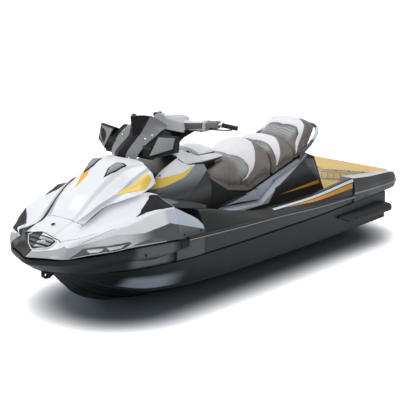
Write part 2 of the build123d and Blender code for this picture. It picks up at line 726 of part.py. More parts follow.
with BuildPart() as mirror_housings:
    inner = [(2640, 1030), (2530, 1165), (2470, 1140), (2540, 1010)]
    outer = [(2552, 1059), (2520, 1173), (2484, 1165), (2496, 1060)]
    side_block(inner, pod_half, outer, 360)
    mirror(about=Plane.XZ)

glass_thick = 4.0
with BuildPart() as mirror_glasses:
    near, far = ((2470, 1140), (2540, 1010)), ((2484, 1165), (2496, 1060))
    pane_near = between(near[0], far[0], 0.25), between(near[1], far[1], 0.25)
    pane_far = between(near[0], far[0], 0.92), between(near[1], far[1], 0.92)
    panes = []
    for top, foot in (pane_near, pane_far):
        high, low = between(top, foot, 0.12), between(top, foot, 0.88)
        panes.append([high, low, (low[0] - glass_thick, low[1]), (high[0] - glass_thick, high[1])])
    side_block(panes[0], pod_half + 0.25 * (360 - pod_half), panes[1], pod_half + 0.92 * (360 - pod_half))
    mirror(about=Plane.XZ)

# ---------------------------------------------------------------- steering stem, bar and controls
with BuildPart() as steering_stem:
    with BuildSketch(column_plane(-250)):
        Circle(stem_radius)
    extrude(amount=250)
    with BuildSketch(column_plane(-30)):
        Rectangle(110, 60)
    extrude(amount=30 + 22 * upward)

bar_radius = 11.0
bar_points = [(1934, 390, 1142), (1998, 282, 1166), (2120, 176, 1146), (2160, 60, 1134)]
bar_points += [(s, -y, h) for s, y, h in reversed(bar_points)]
grip_radius = 17.0
with BuildPart() as handlebar:
    with BuildLine() as run:
        FilletPolyline([spot(*point) for point in bar_points], radius=45)
    with BuildSketch(Plane(origin=run.line @ 0, z_dir=run.line % 0)):
        Circle(bar_radius)
    sweep(path=run.line)
    add(steering_stem.part, mode=Mode.SUBTRACT)


def bar_sleeve(start, stop, radius, bore, mode=Mode.ADD):
    # Tube on the straight outer end of the bar: start and stop are distances from its port end.
    tip, bend = spot(*bar_points[0]), spot(*bar_points[1])
    lead = (bend - tip).normalized()
    with BuildSketch(Plane(origin=tip + lead * start, z_dir=lead)) as ring:
        Circle(radius)
        if bore:
            Circle(bore, mode=Mode.SUBTRACT)
    extrude(ring.sketch, amount=stop - start, mode=mode)


with BuildPart() as grips:
    bar_sleeve(2, 104, grip_radius, bar_radius + pin_gap)
    bar_sleeve(-6, 2, grip_radius + 3, 0)
    mirror(about=Plane.XZ)
    add(handlebar.part, mode=Mode.SUBTRACT)

with BuildPart() as switch_housings:
    inboard = [(2096, 1118), (2096, 1178), (2040, 1190), (2040, 1128)]
    outboard = [(2030, 1134), (2030, 1184), (1984, 1192), (1984, 1140)]
    side_block(inboard, 205, outboard, 286)
    add(handlebar.part, mode=Mode.SUBTRACT)
    add(grips.part, mode=Mode.SUBTRACT)
    mirror(about=Plane.XZ)

with BuildPart() as control_levers:
    inboard = [(2068, 1136), (2068, 1148), (2051, 1148), (2051, 1136)]
    outboard = [(2006, 1130), (2006, 1140), (1996, 1140), (1996, 1130)]
    side_block(inboard, 250, outboard, 375)
    add(switch_housings.part, mode=Mode.SUBTRACT)
    mirror(about=Plane.XZ)

with BuildPart() as handlebar_pad:
    section_loft(
        {
            2068: mirrored([(60, 1165), (66, 1196), (40, 1208), (0, 1210)]),
            2190: mirrored([(130, 1120), (112, 1186), (60, 1214), (0, 1220)]),
            2300: mirrored([(60, 1150), (58, 1228), (30, 1246), (0, 1250)]),
        }
    )
    add(steering_stem.part, mode=Mode.SUBTRACT)
    add(handlebar.part, mode=Mode.SUBTRACT)

# ---------------------------------------------------------------- write one file per sub-part
sub_parts = {
    "hull": hull,
    "engine": engine,
    "bow_bumper": bow_bumper,
    "bow_deck": bow_deck,
    "nose_panel": nose_panel,
    "nose_grille": nose_grille,
    "bow_lamps": bow_lamps,
    "side_decks": side_decks,
    "side_cowls": side_cowls,
    "rub_rails": rub_rails,
    "rear_platform": rear_platform,
    "stern_corners": stern_corners,
    "seat_pedestal": seat_pedestal,
    "pedestal_panels": pedestal_panels,
    "seat_trims": seat_trims,
    "console": console,
    "glovebox_lid": glovebox_lid,
    "footwell_covers": footwell_covers,
    "deck_mats": deck_mats,
    "seat_rider": seat_rider,
    "seat_middle": seat_middle,
    "seat_rear": seat_rear,
    "grab_rail": grab_rail,
    "sponsons": sponsons,
    "bow_eye": bow_eye,
    "stern_fittings": stern_fittings,
    "boarding_step": boarding_step,
    "ride_plate": ride_plate,
    "intake_grate": intake_grate,
    "pump_housing": pump_housing,
    "impeller": impeller,
    "steering_nozzle": steering_nozzle,
    "reverse_bucket": reverse_bucket,
    "front_hatch": front_hatch,
    "hood_scoops": hood_scoops,
    "windshield": windshield,
    "instrument_pod": instrument_pod,
    "mirror_housings": mirror_housings,
    "mirror_glasses": mirror_glasses,
    "steering_stem": steering_stem,
    "handlebar": handlebar,
    "grips": grips,
    "switch_housings": switch_housings,
    "control_levers": control_levers,
    "handlebar_pad": handlebar_pad,
}
for name, builder in sub_parts.items():
    builder.part.label = name
    export_step(builder.part, f"parts/{name}.step")
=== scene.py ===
import functools
import math

import bpy
import numpy as np
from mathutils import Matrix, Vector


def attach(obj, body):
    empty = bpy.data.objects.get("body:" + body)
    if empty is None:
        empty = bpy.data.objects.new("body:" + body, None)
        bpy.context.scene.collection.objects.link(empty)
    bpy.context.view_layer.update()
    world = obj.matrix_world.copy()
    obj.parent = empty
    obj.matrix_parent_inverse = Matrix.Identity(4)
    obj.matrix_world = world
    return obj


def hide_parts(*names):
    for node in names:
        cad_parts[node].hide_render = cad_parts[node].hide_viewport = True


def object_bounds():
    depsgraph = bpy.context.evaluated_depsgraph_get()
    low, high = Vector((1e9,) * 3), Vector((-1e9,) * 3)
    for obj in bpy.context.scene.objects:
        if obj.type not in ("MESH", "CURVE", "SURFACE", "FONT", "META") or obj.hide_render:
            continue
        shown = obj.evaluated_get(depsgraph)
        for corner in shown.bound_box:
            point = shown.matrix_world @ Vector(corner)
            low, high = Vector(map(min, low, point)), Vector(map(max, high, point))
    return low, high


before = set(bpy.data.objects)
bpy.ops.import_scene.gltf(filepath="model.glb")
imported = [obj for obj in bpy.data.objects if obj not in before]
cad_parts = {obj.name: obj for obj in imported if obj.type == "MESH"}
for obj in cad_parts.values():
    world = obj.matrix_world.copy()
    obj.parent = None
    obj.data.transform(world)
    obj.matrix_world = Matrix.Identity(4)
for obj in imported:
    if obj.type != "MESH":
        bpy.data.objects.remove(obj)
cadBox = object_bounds()
scene = bpy.context.scene

# Lengths below are millimetres forward of the stern, out to port and up from the keel.
prowAt = 3565.0
tailX = cadBox[1].x - prowAt / 1000
keelZ = cadBox[0].z


def at(s, y, h):
    # the frame's own metres, for arrays of any matching shape
    s, y, h = np.broadcast_arrays(np.asarray(s, float), y, h)
    return np.stack([tailX + s / 1000, y / 1000, keelZ + h / 1000], axis=-1)


def atPoints(points):
    # the same for points (forward, to port, up) on the last axis
    return at(*np.moveaxis(np.asarray(points, float), -1, 0))


def atSections(where, lines):
    # sections of (to port, up) corners, each at its own place along the craft
    return at(where[:, None], lines[..., 0], lines[..., 1])


def acrossMiddle(port):
    # half sections from port edge to ridge, carried on to the starboard edge
    return np.concatenate([port, port[:, -2::-1] * [-1, 1]], axis=1)


def smoothRows(keys, rows, where):
    # cubic through the rows, its slopes the weighted harmonic mean of the runs on each side, so it
    # never overshoots a drawn section
    keys, rows, where = np.asarray(keys, float), np.asarray(rows, float), np.asarray(where, float)
    shape = (-1,) + (1,) * (rows.ndim - 1)
    gap = np.diff(keys).reshape(shape)
    run = np.diff(rows, axis=0) / gap
    slope = np.zeros_like(rows)
    near, far, wide = run[:-1], run[1:], gap[:-1] + gap[1:]
    same = near * far > 0
    low = np.where(same, near, 1)
    high = np.where(same, far, 1)
    mean = 3 * wide / ((wide + gap[1:]) / low + (wide + gap[:-1]) / high)
    slope[1:-1] = np.where(same, mean, 0)
    slope[0], slope[-1] = run[0], run[-1]
    i = np.clip(np.searchsorted(keys, where, side="right") - 1, 0, len(keys) - 2)
    t = ((where - keys[i]) / gap.ravel()[i]).reshape(shape)
    step = gap[i]
    return ((2 * t ** 3 - 3 * t ** 2 + 1) * rows[i] + (t ** 3 - 2 * t ** 2 + t) * step * slope[i]
            + (3 * t ** 2 - 2 * t ** 3) * rows[i + 1] + (t ** 3 - t ** 2) * step * slope[i + 1])


def smoothTable(table, count):
    # a table {place: corners} read at evenly spaced places and at each drawn one
    keys = np.array(sorted(table), float)
    where = np.unique(np.concatenate([np.linspace(keys[0], keys[-1], count), keys]))
    return where, smoothRows(keys, [table[k] for k in sorted(table)], where)


def roundCorners(corners, radius, steps=4, ring=True, places=False):
    # each corner becomes a parabola that leaves its two sides one radius from it, or 45% of a short
    # side; places are the same points counted in corners, for patterns that follow the surface
    corners = np.asarray(corners, float)
    count = corners.shape[-2]
    reach = np.broadcast_to(np.asarray(radius, float), (count,))[:, None]
    before, after = np.roll(corners, 1, axis=-2) - corners, np.roll(corners, -1, axis=-2) - corners
    long = [np.maximum(np.linalg.norm(d, axis=-1, keepdims=True), 1e-9) for d in (before, after)]
    room = [np.minimum(reach, 0.45 * span) / span for span in long]
    t = np.linspace(0, 1, steps + 1)[:, None]
    weights = (1 - t) ** 2, 2 * t * (1 - t), t ** 2

    def bend(first, middle, last):
        curve = sum(w * k[..., None, :] for w, k in zip(weights, (first, middle, last)))
        if not ring:
            curve[..., 0, :, :] = middle[..., 0, None, :]
            curve[..., -1, :, :] = middle[..., -1, None, :]
        return curve.reshape(middle.shape[:-2] + (count * (steps + 1), middle.shape[-1]))

    line = bend(corners + before * room[0], corners, corners + after * room[1])
    if not places:
        return line
    order = np.broadcast_to(np.arange(count, dtype=float)[:, None], corners.shape[:-1] + (1,))
    return line, bend(order - room[0], order, order + room[1])[..., 0]


def gridFaces(rows, cols, ringCols=False, ringRows=False):
    # quads between neighbouring points of a grid, going round where it closes on itself
    i = np.arange(rows if ringRows else rows - 1)[:, None]
    j = np.arange(cols if ringCols else cols - 1)[None, :]
    down, right = (i + 1) % rows, (j + 1) % cols
    corner = [i * cols + j, i * cols + right, down * cols + right, down * cols + j]
    return np.stack(np.broadcast_arrays(*corner), axis=-1).reshape(-1, 4)


def volumeOf(points, faces):
    # sum over fans of a third of each triangle's box product
    total = 0.0
    for size in {len(f) for f in faces}:
        same = points[np.array([f for f in faces if len(f) == size])]
        for k in range(1, size - 1):
            total += np.einsum("ij,ij->", same[:, 0], np.cross(same[:, k], same[:, k + 1]))
    return total / 6


def outward(points, faces):
    return faces if volumeOf(points, faces) > 0 else [f[::-1] for f in faces]


def ringLoft(grid, ringRows=False):
    # closed sections joined row to row, with a flat face over each end unless the rows close too
    rows, cols = grid.shape[:2]
    points = grid.reshape(-1, 3)
    faces = gridFaces(rows, cols, True, ringRows).tolist()
    if not ringRows:
        faces += [list(range(cols - 1, -1, -1)), list(range((rows - 1) * cols, rows * cols))]
    return points, outward(points, faces)


def slab(grid, wall):
    # an open surface given a wall behind it: the inner skin lies one wall back along the normal, the
    # cross product of the two directions of the grid, and a rim closes each of the four edges
    du = np.gradient(grid, axis=0)
    dv = np.gradient(grid, axis=1)
    normal = np.cross(dv, du)
    normal /= np.maximum(np.linalg.norm(normal, axis=-1, keepdims=True), 1e-12)
    inner = grid - normal * wall / 1000
    rows, cols = grid.shape[:2]
    points = np.concatenate([grid.reshape(-1, 3), inner.reshape(-1, 3)])
    quads = gridFaces(rows, cols)
    count = rows * cols
    faces = quads.tolist() + (quads[:, ::-1] + count).tolist()
    across, down = np.arange(cols), np.arange(rows) * cols
    rims = [(across, 1), (across + count - cols, -1), (down, -1), (down + cols - 1, 1)]
    for line, turn in rims:
        a, b = line[:-1], line[1:]
        faces += np.stack([a, a + count, b + count, b], axis=-1)[:, ::turn].tolist()
    return points, outward(points, faces)


def tube(path, radius, sides=12, ring=False):
    # circles square to a path, each turned from the last by the least angle; the radius may vary
    path = np.asarray(path, float)
    run = np.gradient(path, axis=0)
    if ring:
        run = np.roll(path, -1, axis=0) - np.roll(path, 1, axis=0)
    run /= np.linalg.norm(run, axis=1, keepdims=True)
    side = np.cross(run[0], [0.31, 0.17, 0.93])   # any direction that no path starts along
    across = []
    for step in run:
        side = side - step * (side @ step)
        side = side / np.linalg.norm(side)
        across.append(side)
    across = np.array(across)
    over = np.cross(run, across)
    turn = np.linspace(0, 2 * math.pi, sides, endpoint=False)
    reach = np.broadcast_to(np.asarray(radius, float) / 1000, (len(path),))[:, None, None]
    circle = across[:, None] * np.cos(turn)[None, :, None] + over[:, None] * np.sin(turn)[None, :, None]
    return ringLoft(path[:, None] + circle * reach, ring)


def easyPath(points, count=60):
    # centripetal curve through the points, drawn in the frame's metres
    points = np.asarray(points, float)
    span = np.concatenate([[0], np.cumsum(np.linalg.norm(np.diff(points, axis=0), axis=1) ** 0.5)])
    where = np.linspace(0, span[-1], count)
    return smoothRows(span, points, where)


def flip(shape):
    # the same shape on the other side
    points, faces = shape
    return points * [1, -1, 1], [f[::-1] for f in faces]


def both(shape):
    return joined([shape, flip(shape)])


def joined(shapes):
    points, faces, base = [], [], 0
    for p, f in shapes:
        points.append(p)
        faces += [[k + base for k in face] for face in f]
        base += len(p)
    return np.concatenate(points), faces


def prism(outline, low, high, soften=0):
    # a flat outline (frame metres, any plane) carried from one offset to another
    outline = np.asarray(outline, float)
    if soften:
        outline = roundCorners(outline, soften / 1000, 3)
    return ringLoft(np.stack([outline + np.asarray(low), outline + np.asarray(high)]))


def bolt(centre, axis, radius=6.0, high=3.0, sides=10):
    # a domed head: rings that follow a quarter ellipse up to a pole
    axis = np.asarray(axis, float) / np.linalg.norm(axis)
    side = np.cross(axis, [0.3, 0.9, 0.2])
    side /= np.linalg.norm(side)
    over = np.cross(axis, side)
    turn = np.linspace(0, 2 * math.pi, sides, endpoint=False)[None, :, None]
    profile = np.array([(-0.6, 1.0), (0.0, 1.0), (0.45, 0.88), (0.8, 0.55), (1.0, 0.12)])
    rise, wide = profile.T[..., None, None]
    circle = side * np.cos(turn) + over * np.sin(turn)
    return ringLoft(np.asarray(centre) + (circle * wide * radius + axis * rise * high) / 1000)


def lay(name, shape, body, look, stands=(), crease=32, bevel=0, fields=None):
    # puts a shape into the scene as one piece that rides on a body and stands for CAD nodes; fields
    # are numbers kept on its points, which a look can read
    points, faces = shape
    mesh = bpy.data.meshes.new(name)
    mesh.from_pydata(np.asarray(points).tolist(), [], faces)
    mesh.materials.append(look)
    for key, values in (fields or {}).items():
        kept = mesh.attributes.new(key, "FLOAT", "POINT")
        values = np.asarray(values, np.float32).ravel()
        kept.data.foreach_set("value", np.tile(values, len(points) // len(values)))
    piece = bpy.data.objects.new(name, mesh)
    scene.collection.objects.link(piece)
    mesh.shade_smooth()
    mesh.set_sharp_from_angle(angle=math.radians(crease))
    if bevel:
        edge = piece.modifiers.new("bevel", "BEVEL")
        edge.width, edge.segments = bevel / 1000, 2
        edge.limit_method, edge.angle_limit = "ANGLE", math.radians(28)
        edge.harden_normals = True
    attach(piece, body)
    if stands:
        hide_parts(*stands)
    return piece


viewpoint = {"azimuth": 131.68, "elevation": 14.66, "distance": 9.47, "lens": 115.2, "sensor": 36.0,
             "far": 100.0, "target": (0.01, -0.073, 0.261)}


def placeCamera():
    a, e = math.radians(viewpoint["azimuth"]), math.radians(viewpoint["elevation"])
    back = np.array([math.sin(a) * math.cos(e), -math.cos(a) * math.cos(e), math.sin(e)])
    camera = bpy.data.objects.new("camera", bpy.data.cameras.new("camera"))
    camera.data.lens = viewpoint["lens"]
    camera.data.sensor_width, camera.data.clip_end = viewpoint["sensor"], viewpoint["far"]
    camera.location = np.array(viewpoint["target"]) + back * viewpoint["distance"]
    camera.rotation_euler = (math.pi / 2 - e, 0, a)
    scene.collection.objects.link(camera)
    scene.camera = camera


placeCamera()
print("camera placed")


class Link:
    # one output socket, on which arithmetic adds Math nodes
    def __init__(self, graph, socket):
        self.graph, self.socket = graph, socket

    def calc(self, operation, *values):
        return self.graph.node("ShaderNodeMath", {"operation": operation}, dict(enumerate(values)))

    def __add__(self, other):
        return self.calc("ADD", self, other)

    def __sub__(self, other):
        return self.calc("SUBTRACT", self, other)

    def __rsub__(self, other):
        return self.calc("SUBTRACT", other, self)

    def __mul__(self, other):
        return self.calc("MULTIPLY", self, other)

    def __truediv__(self, other):
        return self.calc("DIVIDE", self, other)

    def __rtruediv__(self, other):
        return self.calc("DIVIDE", other, self)

    __radd__, __rmul__ = __add__, __mul__

    def above(self, limit):
        return self.calc("GREATER_THAN", self, limit)

    def below(self, limit):
        return self.calc("LESS_THAN", self, limit)

    def least(self, other):
        return self.calc("MINIMUM", self, other)

    def most(self, other):
        return self.calc("MAXIMUM", self, other)

    def power(self, other):
        return self.calc("POWER", self, other)

    def size(self):
        return self.calc("ABSOLUTE", self)

    def wave(self):
        return self.calc("SINE", self)

    def fraction(self):
        return self.calc("FRACT", self)

    def ease(self, low, high):
        # 0 below low, 1 above high, smooth between
        return self.graph.node("ShaderNodeMapRange", {"interpolation_type": "SMOOTHSTEP"},
                               {"Value": self, "From Min": low, "From Max": high})


class Graph:
    # a node tree; every node added to it comes from node()
    def __init__(self, tree):
        self.tree = tree

    def node(self, kind, settings=None, inputs=None, out=0):
        made = self.tree.nodes.new(kind)
        for key, value in (settings or {}).items():
            setattr(made, key, value)
        for key, value in (inputs or {}).items():
            self.feed(made.inputs[key], value)
        return Link(self, made.outputs[out])

    def feed(self, socket, value):
        if isinstance(value, Link):
            self.tree.links.new(value.socket, socket)
        elif socket.type == "RGBA":
            socket.default_value = (*value, 1)
        else:
            socket.default_value = value

    def finish(self, outputNode, shader):
        self.feed(self.tree.nodes[outputNode].inputs["Surface"], shader)

    def studioRays(self):
        # camera rays, and camera, glossy and see-through rays together
        camera, glossy, through = [self.node("ShaderNodeLightPath", out=k) for k in (0, 3, 6)]
        return camera, camera.most(glossy).most(through)


class Look(Graph):
    # a material with one Principled shader
    def __init__(self, name, colour, **fixed):
        self.material = bpy.data.materials.new(name)
        self.material.use_nodes = True
        super().__init__(self.material.node_tree)
        self.shader = self.tree.nodes["Principled BSDF"]
        self.set("Base Color", colour)
        for key, value in fixed.items():
            self.set(key.replace("_", " "), value)

    def set(self, name, value):
        self.feed(self.shader.inputs[name], value)

    def place(self):
        return self.node("ShaderNodeTexCoord", out=3)

    def axes(self):
        # millimetres forward of the stern, to port and above the keel
        split = [self.node("ShaderNodeSeparateXYZ", None, {0: self.place()}, k) for k in range(3)]
        return (split[0] - tailX) * 1000, split[1] * 1000, (split[2] - keelZ) * 1000

    def field(self, name):
        return self.node("ShaderNodeAttribute", {"attribute_name": name}, None, 2)

    def inside(self, corners, u, v, soft=1.0):
        # 1 inside a convex outline of (u, v) corners listed anticlockwise, by its nearest side
        nearest = None
        for (u0, v0), (u1, v1) in zip(corners, corners[1:] + corners[:1]):
            span = math.hypot(u1 - u0, v1 - v0)
            gap = (v - v0) * ((u1 - u0) / span) - (u - u0) * ((v1 - v0) / span)
            nearest = gap if nearest is None else nearest.least(gap)
        return nearest.ease(-soft / 2, soft / 2)

    def noise(self, scale, detail=2.0, stretch=None, rough=0.5):
        where = self.place()
        if stretch:
            where = self.node("ShaderNodeMapping", None, {"Vector": where, "Scale": stretch})
        return self.node("ShaderNodeTexNoise", None,
                         {"Vector": where, "Scale": scale, "Detail": detail, "Roughness": rough})

    def cells(self, scale):
        return self.node("ShaderNodeTexVoronoi", None, {"Vector": self.place(), "Scale": scale})

    def mix(self, factor, first, second):
        return self.node("ShaderNodeMix", {"data_type": "RGBA"}, {0: factor, 6: first, 7: second}, 2)

    def bump(self, height, strength, distance):
        made = self.node("ShaderNodeBump", None,
                         {"Height": height, "Strength": strength, "Distance": distance})
        self.set("Normal", made)


def shade(red, green, blue):
    # a colour as the eye reads it, 0 to 255, made linear
    parts = np.array([red, green, blue]) / 255
    return tuple(np.where(parts < 0.04045, parts / 12.92, ((parts + 0.055) / 1.055) ** 2.4).tolist())


def toned(colour, factor, lift=0.0):
    return tuple(c * factor + lift for c in colour)


polish = {"cloud": 3.5, "scuff": 60, "scuffedAndSheen": 0.12, "peel": 220, "peelDepth": 0.03, "coatRough": 0.22}


def polished(name, colour, coat, rough, **fixed):
    # a moulding's finish: fine scuffs in the polish over orange peel
    look = Look(name, colour, Coat_Roughness=polish["coatRough"], Coat_Weight=coat * 0.5, **fixed)
    scuff = look.noise(polish["scuff"], 4.0, (1, 4, 4))
    look.set("Roughness", scuff.ease(0.55, 0.8) * polish["scuffedAndSheen"] + rough)
    look.bump(look.noise(polish["peel"], 1.0), polish["peelDepth"], 0.0004)
    return look, look.noise(polish["cloud"], 3.0).ease(0.35, 0.65)


def gelcoat(name, colour, coat=0.7, rough=0.28, flake=0.05):
    # one colour, faintly cloudy
    look, cloud = polished(name, colour, coat, rough)
    look.set("Base Color", look.mix(cloud, toned(colour, 1 - flake), toned(colour, 1.05, 0.002)))
    return look.material


def painted(name, colours, coat, rough, flake, paint, **fixed):
    # gelcoat in several colours, laid over one another by paint(look, layers)
    look, cloud = polished(name, colours[0], coat, rough, **fixed)
    layers = [look.mix(cloud, toned(colour, 1 - flake), colour) for colour in colours]
    look.set("Base Color", paint(look, layers))
    return look.material


def plastic(name, colour, rough=0.45, grain=0.35, size=900, wear=1.35, shine=0.4):
    # moulded plastic: leather-fine grain, paler where it has been rubbed
    look = Look(name, colour, Specular_IOR_Level=shine)
    rubbed = look.noise(9, 5.0, rough=0.6).ease(0.52, 0.78)
    look.set("Base Color", look.mix(rubbed * 0.6, colour, toned(colour, wear, 0.004)))
    pits = look.cells(size)
    look.set("Roughness", rubbed * -0.08 + pits.ease(0.1, 0.5) * 0.06 + rough)
    look.bump(pits, grain, 0.0005)
    return look.material


def metal(name, colour, rough=0.3, brushed=(1, 1, 40), scratch=0.1, metallic=1.0):
    # brushed metal or metallic paint: fine streaks along one direction
    look = Look(name, colour, Metallic=metallic)
    streak = look.noise(90, 3.0, brushed)
    look.set("Base Color", look.mix(streak.ease(0.3, 0.7), toned(colour, 0.86), colour))
    look.set("Roughness", streak * 0.14 + (rough - 0.07))
    look.bump(streak, scratch, 0.0003)
    return look.material


white = gelcoat("gelcoatWhite", shade(236, 238, 241))
hullBlack = gelcoat("gelcoatHull", shade(30, 32, 35), coat=0.8, rough=0.3, flake=0.2)
deckGrey = gelcoat("gelcoatDeck", shade(52, 55, 58), coat=0.5, rough=0.36, flake=0.12)
silver = metal("paintSilver", shade(172, 178, 188), 0.36, (3, 3, 3), 0.05, 0.75)
darkSilver = metal("paintGraphite", shade(112, 116, 122), 0.38, (3, 3, 3), 0.05, 0.7)
charcoal = plastic("plasticCharcoal", shade(36, 38, 41), 0.46, shine=0.15)
blackPlastic = plastic("plasticBlack", shade(17, 18, 19), 0.4, 0.3, shine=0.15)
midGrey = plastic("plasticGrey", shade(124, 126, 128), 0.5, 0.25, 1200, 1.12)
scoopGrey = plastic("plasticScoop", shade(152, 155, 160), 0.42, 0.15, 1200, 1.06)
paleGrey = plastic("plasticPale", shade(196, 197, 198), 0.42, 0.12, 1200, 1.06)
shieldBlack = gelcoat("shieldBlack", shade(20, 20, 23), 0.9, 0.2, 0.1)
rubber = plastic("gripRubber", shade(36, 36, 37), 0.72, 0.7, 500, 1.3)
alloy = metal("castAlloy", shade(168, 170, 172), 0.42, (1, 1, 1), 0.2)
stainless = metal("stainlessSteel", shade(200, 200, 202), 0.22, (2, 30, 30), 0.1)
iron = metal("engineIron", shade(96, 98, 100), 0.55, (1, 1, 1), 0.3, 0.8)
gold = gelcoat("paintGold", shade(240, 206, 88), 0.7, 0.3, 0.12)
mirrorLook = metal("mirrorGlass", shade(225, 228, 230), 0.09, (1, 1, 1), 0.02)


floorPlan = {"half": 40.0, "under": 0.001, "grey": 0.86, "rough": 0.88}


def layFloor():
    # pale and plain, a millimetre under the keel
    floor = Look("studioFloor", (floorPlan["grey"],) * 3, Specular_IOR_Level=0.1)
    floor.set("Roughness", floor.noise(2.0, 2.0) * 0.05 + floorPlan["rough"])
    corners = np.array([[-1, -1], [1, -1], [1, 1], [-1, 1]]) * floorPlan["half"]
    mesh = bpy.data.meshes.new("floor")
    points = np.column_stack([corners, np.full(4, keelZ - floorPlan["under"])])
    mesh.from_pydata(points.tolist(), [], [[0, 1, 2, 3]])
    mesh.materials.append(floor.material)
    obj = bpy.data.objects.new("floor", mesh)
    scene.collection.objects.link(obj)
    return floor


floorLook = layFloor()
print("materials and floor made")


studio = {"sky": (0.93, 0.96, 1.0), "skyLight": 0.52, "floorGlow": 0.3, "aim": (0.1, 0, 0.3),
          "paintedShadow": {"middle": 1600, "half": 1100, "dark": 380, "fade": 310, "falloff": 1.6,
                     "deep": (0.19, 0.225, 0.26), "pale": (1.38, 1.38, 1.38)},
          "lamps": {"keySoft": ((7.5, -7.0, 9.0), (5.0, 5.0), 620.0),
                    "overhead": ((-2.0, 1.0, 11.0), (6.0, 4.0), 330.0),
                    "portFill": ((8.0, 9.0, 5.0), (5.0, 2.0), 120.0)}}


def lightFloor():
    # the floor shines a little for the camera alone, so that it reaches white and keeps its shadow;
    # a painted shadow darkens it further under the hull within a long rounded outline
    paintedShadow = studio["paintedShadow"]
    camera, seen = floorLook.studioRays()
    s, y, h = floorLook.axes()
    # the painted shadow: a long rounded outline under the hull, darkest inside
    past = ((s - paintedShadow["middle"]).size() - paintedShadow["half"]).most(0)
    reach = (past.power(2) + y.power(2)).power(0.5)
    clear = ((reach - paintedShadow["dark"]) / paintedShadow["fade"]).most(0).least(1).power(paintedShadow["falloff"])
    bright = floorLook.mix(clear, paintedShadow["deep"], paintedShadow["pale"])
    lit = floorLook.node("ShaderNodeBsdfDiffuse", None, {"Color": bright})
    glow = floorLook.node("ShaderNodeEmission", None, {"Strength": clear * studio["floorGlow"]})
    shining = floorLook.node("ShaderNodeAddShader", None, {0: lit, 1: glow})
    plain = Link(floorLook, floorLook.shader.outputs[0])
    shown = floorLook.node("ShaderNodeMixShader", None, {0: seen, 1: plain, 2: shining})
    # seen from below the floor lets the camera through
    under = floorLook.node("ShaderNodeNewGeometry", out=6) * camera
    clearBelow = floorLook.node("ShaderNodeBsdfTransparent")
    shown = floorLook.node("ShaderNodeMixShader", None, {0: under, 1: shown, 2: clearBelow})
    floorLook.finish("Material Output", shown)


def lightSky():
    # plain and soft, and pure white for the rays that show it
    world = bpy.data.worlds.new("studio")
    world.use_nodes = True
    scene.world = world
    sky = Graph(world.node_tree)
    sky.tree.nodes.remove(sky.tree.nodes["Background"])
    soft = sky.node("ShaderNodeBackground", None, {"Color": studio["sky"], "Strength": studio["skyLight"]})
    pure = sky.node("ShaderNodeBackground", None, {"Color": (1, 1, 1), "Strength": 1.0})
    seen = sky.studioRays()[1]
    sky.finish("World Output", sky.node("ShaderNodeMixShader", None, {0: seen, 1: soft, 2: pure}))


def placeLamps():
    for name, (where, size, power) in studio["lamps"].items():
        lamp = bpy.data.lights.new(name, "AREA")
        lamp.shape, lamp.size, lamp.size_y, lamp.energy = "RECTANGLE", *size, power
        obj = bpy.data.objects.new(name, lamp)
        aim = np.array(studio["aim"]) - np.array(where)
        aim = aim / np.linalg.norm(aim)
        obj.location = where
        obj.rotation_euler = (math.acos(-aim[2]), 0, math.atan2(-aim[0], aim[1]))
        scene.collection.objects.link(obj)


lightFloor()
lightSky()
placeLamps()
scene.view_settings.view_transform = "Standard"
print("lamps lit")


def footwellPaint(look, layers):
    # a painted highlight along the upper lip, over a dark side
    side, lip = layers
    return look.mix(look.axes()[2].ease(735, 739), side, lip)


footwellLook = painted("footwellPaint", [shade(60, 63, 66), shade(136, 139, 142)], 0.2, 0.4, 0.1,
                       footwellPaint, Specular_IOR_Level=0.25)


def deckPaint(look, layers):
    # grey up in the gap beside the hatch, and on the flank under the bumper a painted reflection in grey;
    # black at the nose
    black, grey = layers
    s, y, h = look.axes()
    # the flank's grey is a painted reflection, the hull's lighter band carried up
    flank = s.ease(2700, 2800) * (1 - s.ease(2980, 3080)) * (1 - h.ease(440, 460))
    return look.mix(h.ease(612, 640).most(flank), black, grey)


deckLook = painted("deckPaint", [shade(15, 16, 18), shade(112, 117, 124)], 0.1, 0.45, 0.1, deckPaint,
                   Specular_IOR_Level=0.15)

# Finishes for the CAD parts, those that a finer piece stands for included.
finishes = {
    "hull": hullBlack, "engine": iron, "bow_deck": deckLook, "side_decks": deckGrey,
    "side_cowls": silver, "rub_rails": darkSilver, "rear_platform": charcoal, "stern_corners": charcoal,
    "seat_pedestal": blackPlastic, "pedestal_panels": blackPlastic, "seat_trims": silver,
    "console": darkSilver, "glovebox_lid": white, "footwell_covers": footwellLook, "deck_mats": gold,
    "seat_rider": paleGrey, "seat_middle": paleGrey, "seat_rear": paleGrey, "grab_rail": blackPlastic,
    "sponsons": blackPlastic, "bow_eye": blackPlastic, "stern_fittings": stainless,
    "boarding_step": stainless, "ride_plate": alloy, "intake_grate": alloy, "pump_housing": alloy,
    "impeller": stainless, "steering_nozzle": blackPlastic, "reverse_bucket": blackPlastic,
    "front_hatch": white, "hood_scoops": midGrey, "windshield": shieldBlack, "instrument_pod": blackPlastic,
    "mirror_housings": blackPlastic, "mirror_glasses": mirrorLook, "steering_stem": charcoal,
    "handlebar": stainless, "grips": rubber, "switch_housings": midGrey, "control_levers": blackPlastic,
    "handlebar_pad": paleGrey, "bow_bumper": charcoal, "nose_panel": white, "nose_grille": charcoal,
    "bow_lamps": blackPlastic,
}


